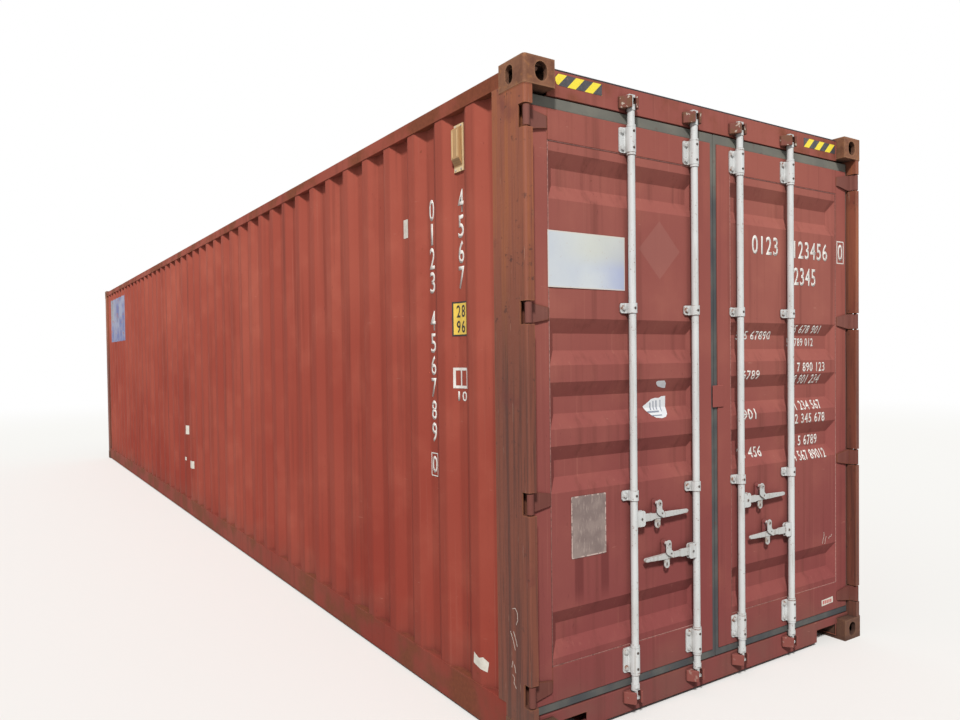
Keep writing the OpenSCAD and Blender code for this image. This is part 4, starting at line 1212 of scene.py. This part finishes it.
class CONTAINER_OT_stick_plates(bpy.types.Operator):
    """Bare plates, a torn sticker, height plates and small tags on the doors and walls"""
    bl_idname = "container.stick_plates"
    bl_label = "Stick the Plates"

    def execute(self, context):
        leaf = Ground("doors", "left_leaf_panel_sheet", "left_leaf_frame_steel")
        plate = leaf.film(rectangle(leaf, *NAME_PLATE), lift=0.001)
        dress([plate], "bleached_plate", "pale_plate", "left_door")
        plate = leaf.film(round_rectangle(leaf, *DATA_PLATE, 0.006), lift=0.002)
        dress([plate], "bare_data_plate", "bare_plate", "left_door")
        scraps = [leaf.film(flat_shape(leaf, outline), step=0.006)
                  for outline in (STICKER_UPPER, STICKER_LOWER)]
        dress(scraps, "torn_sticker", "sticker_white", "left_door")
        prints = [leaf.film(rectangle(leaf, *box), step=0.006, lift=0.0010) for box in STICKER_PRINT]
        dress(prints, "sticker_print_marks", "sticker_print", "left_door")
        leaf = Ground("doors", "right_leaf_panel_sheet", "right_leaf_frame_steel")
        tag = leaf.film(flat_shape(leaf, LEAF_TAG))
        dress([tag], "small_pale_tag", "tag_white", "right_door")
        marks = [leaf.film(rectangle(leaf, 0.922 + n * 0.018, 0.934 + n * 0.018, 0.226, 0.245), lift=0.001)
                 for n in range(5)]
        dress(marks, "small_tag_marks", "tag_red", "right_door")
        wall = Ground("left", "side_wall_left_sheet")
        tags = [wall.film(rectangle(wall, *NEAR_TAG)),
                wall.film(flat_shape(wall, WALL_SCRAP), step=0.01, axis=0)]
        tags += [wall.film(rectangle(wall, *box), step=0.006, axis=0) for box in FAR_TAGS]
        dress(tags, "wall_tags", "tag_white", "frame")
        for name in SIDES:
            wall = Ground(name, "side_wall_%s_sheet" % name)
            height_plate(wall, name)
            sheet = rectangle(wall, *wall.ends(10.150, 11.650), 2.000, 2.695)
            sheet = wall.film(sheet, step=0.007, axis=0)
            dress([sheet], name + "_blue_sheet", "blue_sheet", "frame")
        return {"FINISHED"}


def stroke(ground, points):
    """A chalk line of even width along points given along and up."""
    left = []
    right = []
    for n, (along, up) in enumerate(points):
        before = Vector(points[max(n - 1, 0)])
        after = Vector(points[min(n + 1, len(points) - 1)])
        run = (after - before).normalized() * CHALK_WIDTH / 2
        left.append((along - run.y, up + run.x))
        right.append((along + run.y, up - run.x))
    return flat_shape(ground, left + right[::-1])


# Chalk strokes on the right leaf, across and up, and on the left post's side, from the doors and up
LEAF_CHALK = (
    ((0.925, 0.575), (0.932, 0.600), (0.941, 0.622), (0.938, 0.640)),
    ((0.948, 0.571), (0.953, 0.596), (0.962, 0.612)),
    ((0.986, 0.596), (0.996, 0.609), (1.005, 0.604), (1.014, 0.618)),
)
POST_CHALK = (
    ((0.124, 0.596), (0.104, 0.604), (0.089, 0.588), (0.087, 0.556), (0.098, 0.535)),
    ((0.140, 0.497), (0.121, 0.462), (0.107, 0.424)),
    ((0.118, 0.502), (0.103, 0.474), (0.092, 0.444)),
    ((0.133, 0.342), (0.126, 0.372), (0.112, 0.354), (0.105, 0.328)),
    ((0.129, 0.314), (0.113, 0.302), (0.119, 0.281), (0.102, 0.262)),
)


class CONTAINER_OT_chalk_marks(bpy.types.Operator):
    """Loose chalk strokes on the right leaf and the left post"""
    bl_idname = "container.chalk_marks"
    bl_label = "Chalk the Marks"

    def execute(self, context):
        leaf = Ground("doors", "right_leaf_panel_sheet", "right_leaf_frame_steel")
        lines = [leaf.film(stroke(leaf, line), step=0.01) for line in LEAF_CHALK]
        dress(lines, "leaf_chalk", "chalk", "right_door")
        post = Ground("left", "rear_post_left_steel")
        lines = [post.film(stroke(post, line)) for line in POST_CHALK]
        dress(lines, "post_chalk", "chalk", "frame")
        return {"FINISHED"}


# The left stripe patch, which is rounded at its outer end
ROUND_STRIPES = ((-0.745, 2.819), (-0.745, 2.869), (-0.992, 2.869), (-1.004, 2.862), (-1.010, 2.850),
                 (-1.010, 2.837), (-1.003, 2.825), (-0.990, 2.819))


class CONTAINER_OT_stripe_header(bpy.types.Operator):
    """Slanting yellow and dark stripes beside the upper castings"""
    bl_idname = "container.stripe_header"
    bl_label = "Stripe the Header"

    def execute(self, context):
        header = Ground("doors", "door_header_steel")
        patches = [header.film(flat_shape(header, ROUND_STRIPES)),
                   header.film(rectangle(header, 0.753, 1.050, 2.807, 2.857))]
        dress(patches, "header_stripes", "slanting_stripes", "frame")
        return {"FINISHED"}


class CONTAINER_OT_set_stage(bpy.types.Operator):
    """Floor, soft light, pale background and the camera at the photographed angle"""
    bl_idname = "container.set_stage"
    bl_label = "Set the Stage"

    def execute(self, context):
        self.lay_floor()
        self.light(context)
        self.place_camera(context)
        context.scene.view_settings.view_transform = "Standard"
        return {"FINISHED"}

    def lay_floor(self):
        """A pale floor that sends little light back up and melts into the background far out."""
        select_none()
        bpy.ops.mesh.primitive_plane_add(size=400, location=(0, 0, -0.0005))
        ground = bpy.context.active_object
        ground.name = "studio_floor"
        s = Finish("studio_floor")
        distance = s.node("ShaderNodeVectorMath", {"operation": "LENGTH"}, {0: s.place}, output=1)
        tone = s.mix(s.seen(), (0.36, 0.35, 0.34, 1), (0.80, 0.80, 0.79, 1))
        cloth = s.node("ShaderNodeBsdfDiffuse", None, {"Color": tone})
        glow = s.node("ShaderNodeEmission", None, {"Color": (1, 1, 1, 1), "Strength": 1.0})
        surface = s.node("ShaderNodeMixShader", None, {0: distance.rise(11, 26), 1: cloth, 2: glow})
        s.output("ShaderNodeOutputMaterial", surface)
        ground.data.materials.append(s.material)

    def light(self, context):
        """Even light all round, white only where the camera sees it, and a soft key light."""
        look = context.scene.container_stage
        world = bpy.data.worlds.new("studio_air")
        context.scene.world = world
        air = NodeTree(world)
        even = air.node("ShaderNodeBackground", None, {"Color": (0.96, 0.98, 1.0, 1), "Strength": look.sky})
        white = air.node("ShaderNodeBackground", None, {"Color": (1, 1, 1, 1)})
        mixed = air.node("ShaderNodeMixShader", None, {0: air.seen(), 1: even, 2: white})
        air.output("ShaderNodeOutputWorld", mixed)
        bpy.ops.object.light_add(type="SUN", location=(12, -14, 14))
        key = context.active_object
        key.name = "soft_key"
        key.data.energy = look.sun
        key.data.angle = math.radians(7)
        key.data.color = (1.0, 0.98, 0.95)
        key.rotation_euler = Vector((-0.57, 0.48, -0.68)).to_track_quat("-Z", "Y").to_euler()

    def place_camera(self, context):
        look = context.scene.container_stage
        bpy.ops.object.camera_add(location=look.eye)
        eye = context.active_object
        eye.name = "photo_camera"
        flat = Vector((-math.cos(look.heading), math.sin(look.heading), 0))
        forward = flat * math.cos(look.rise) + AXIS_Z * math.sin(look.rise)
        right = forward.cross(AXIS_Z).normalized()
        up = right.cross(forward)
        lean_right = right * math.cos(look.roll) + up * math.sin(look.roll)
        lean_up = up * math.cos(look.roll) - right * math.sin(look.roll)
        turn = Matrix((lean_right, lean_up, -forward)).transposed().to_4x4()
        eye.matrix_world = Matrix.Translation(look.eye) @ turn
        eye.data.sensor_width = 36
        eye.data.lens = look.lens
        eye.data.shift_x, eye.data.shift_y = look.shift
        context.scene.camera = eye


STEPS = (
    CONTAINER_OT_set_stage,
    CONTAINER_OT_round_steel,
    CONTAINER_OT_press_sheets,
    CONTAINER_OT_bolt_lock_gear,
    CONTAINER_OT_run_welds,
    CONTAINER_OT_screw_ventilators,
    CONTAINER_OT_stencil_numbers,
    CONTAINER_OT_stick_plates,
    CONTAINER_OT_stripe_header,
    CONTAINER_OT_chalk_marks,
)
GROUPS = {"container_paint": PaintLook, "container_steel": SteelSizes, "container_stage": StageLook}


class CONTAINER_PT_dress(bpy.types.Panel):
    """Lists the container's looks and the steps that dress it"""
    bl_label = "Container"
    bl_idname = "CONTAINER_PT_dress"
    bl_space_type = "VIEW_3D"
    bl_region_type = "UI"
    bl_category = "Container"

    def draw(self, context):
        for settings in GROUPS:
            group = getattr(context.scene, settings)
            box = self.layout.box()
            for name in group.__annotations__:
                box.prop(group, name)
        for step in STEPS:
            self.layout.operator(step.bl_idname)


CLASSES = (*GROUPS.values(), *STEPS, CONTAINER_PT_dress)


def register():
    for made in CLASSES:
        bpy.utils.register_class(made)
    for name, group in GROUPS.items():
        setattr(bpy.types.Scene, name, PointerProperty(type=group))


def unregister():
    for name in GROUPS:
        delattr(bpy.types.Scene, name)
    for made in reversed(CLASSES):
        bpy.utils.unregister_class(made)


def main():
    """Registers the add-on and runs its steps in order."""
    register()
    make_finishes()
    for step in STEPS:
        group, name = step.bl_idname.split(".")
        getattr(getattr(bpy.ops, group), name)()


if __name__ == "__main__":
    main()
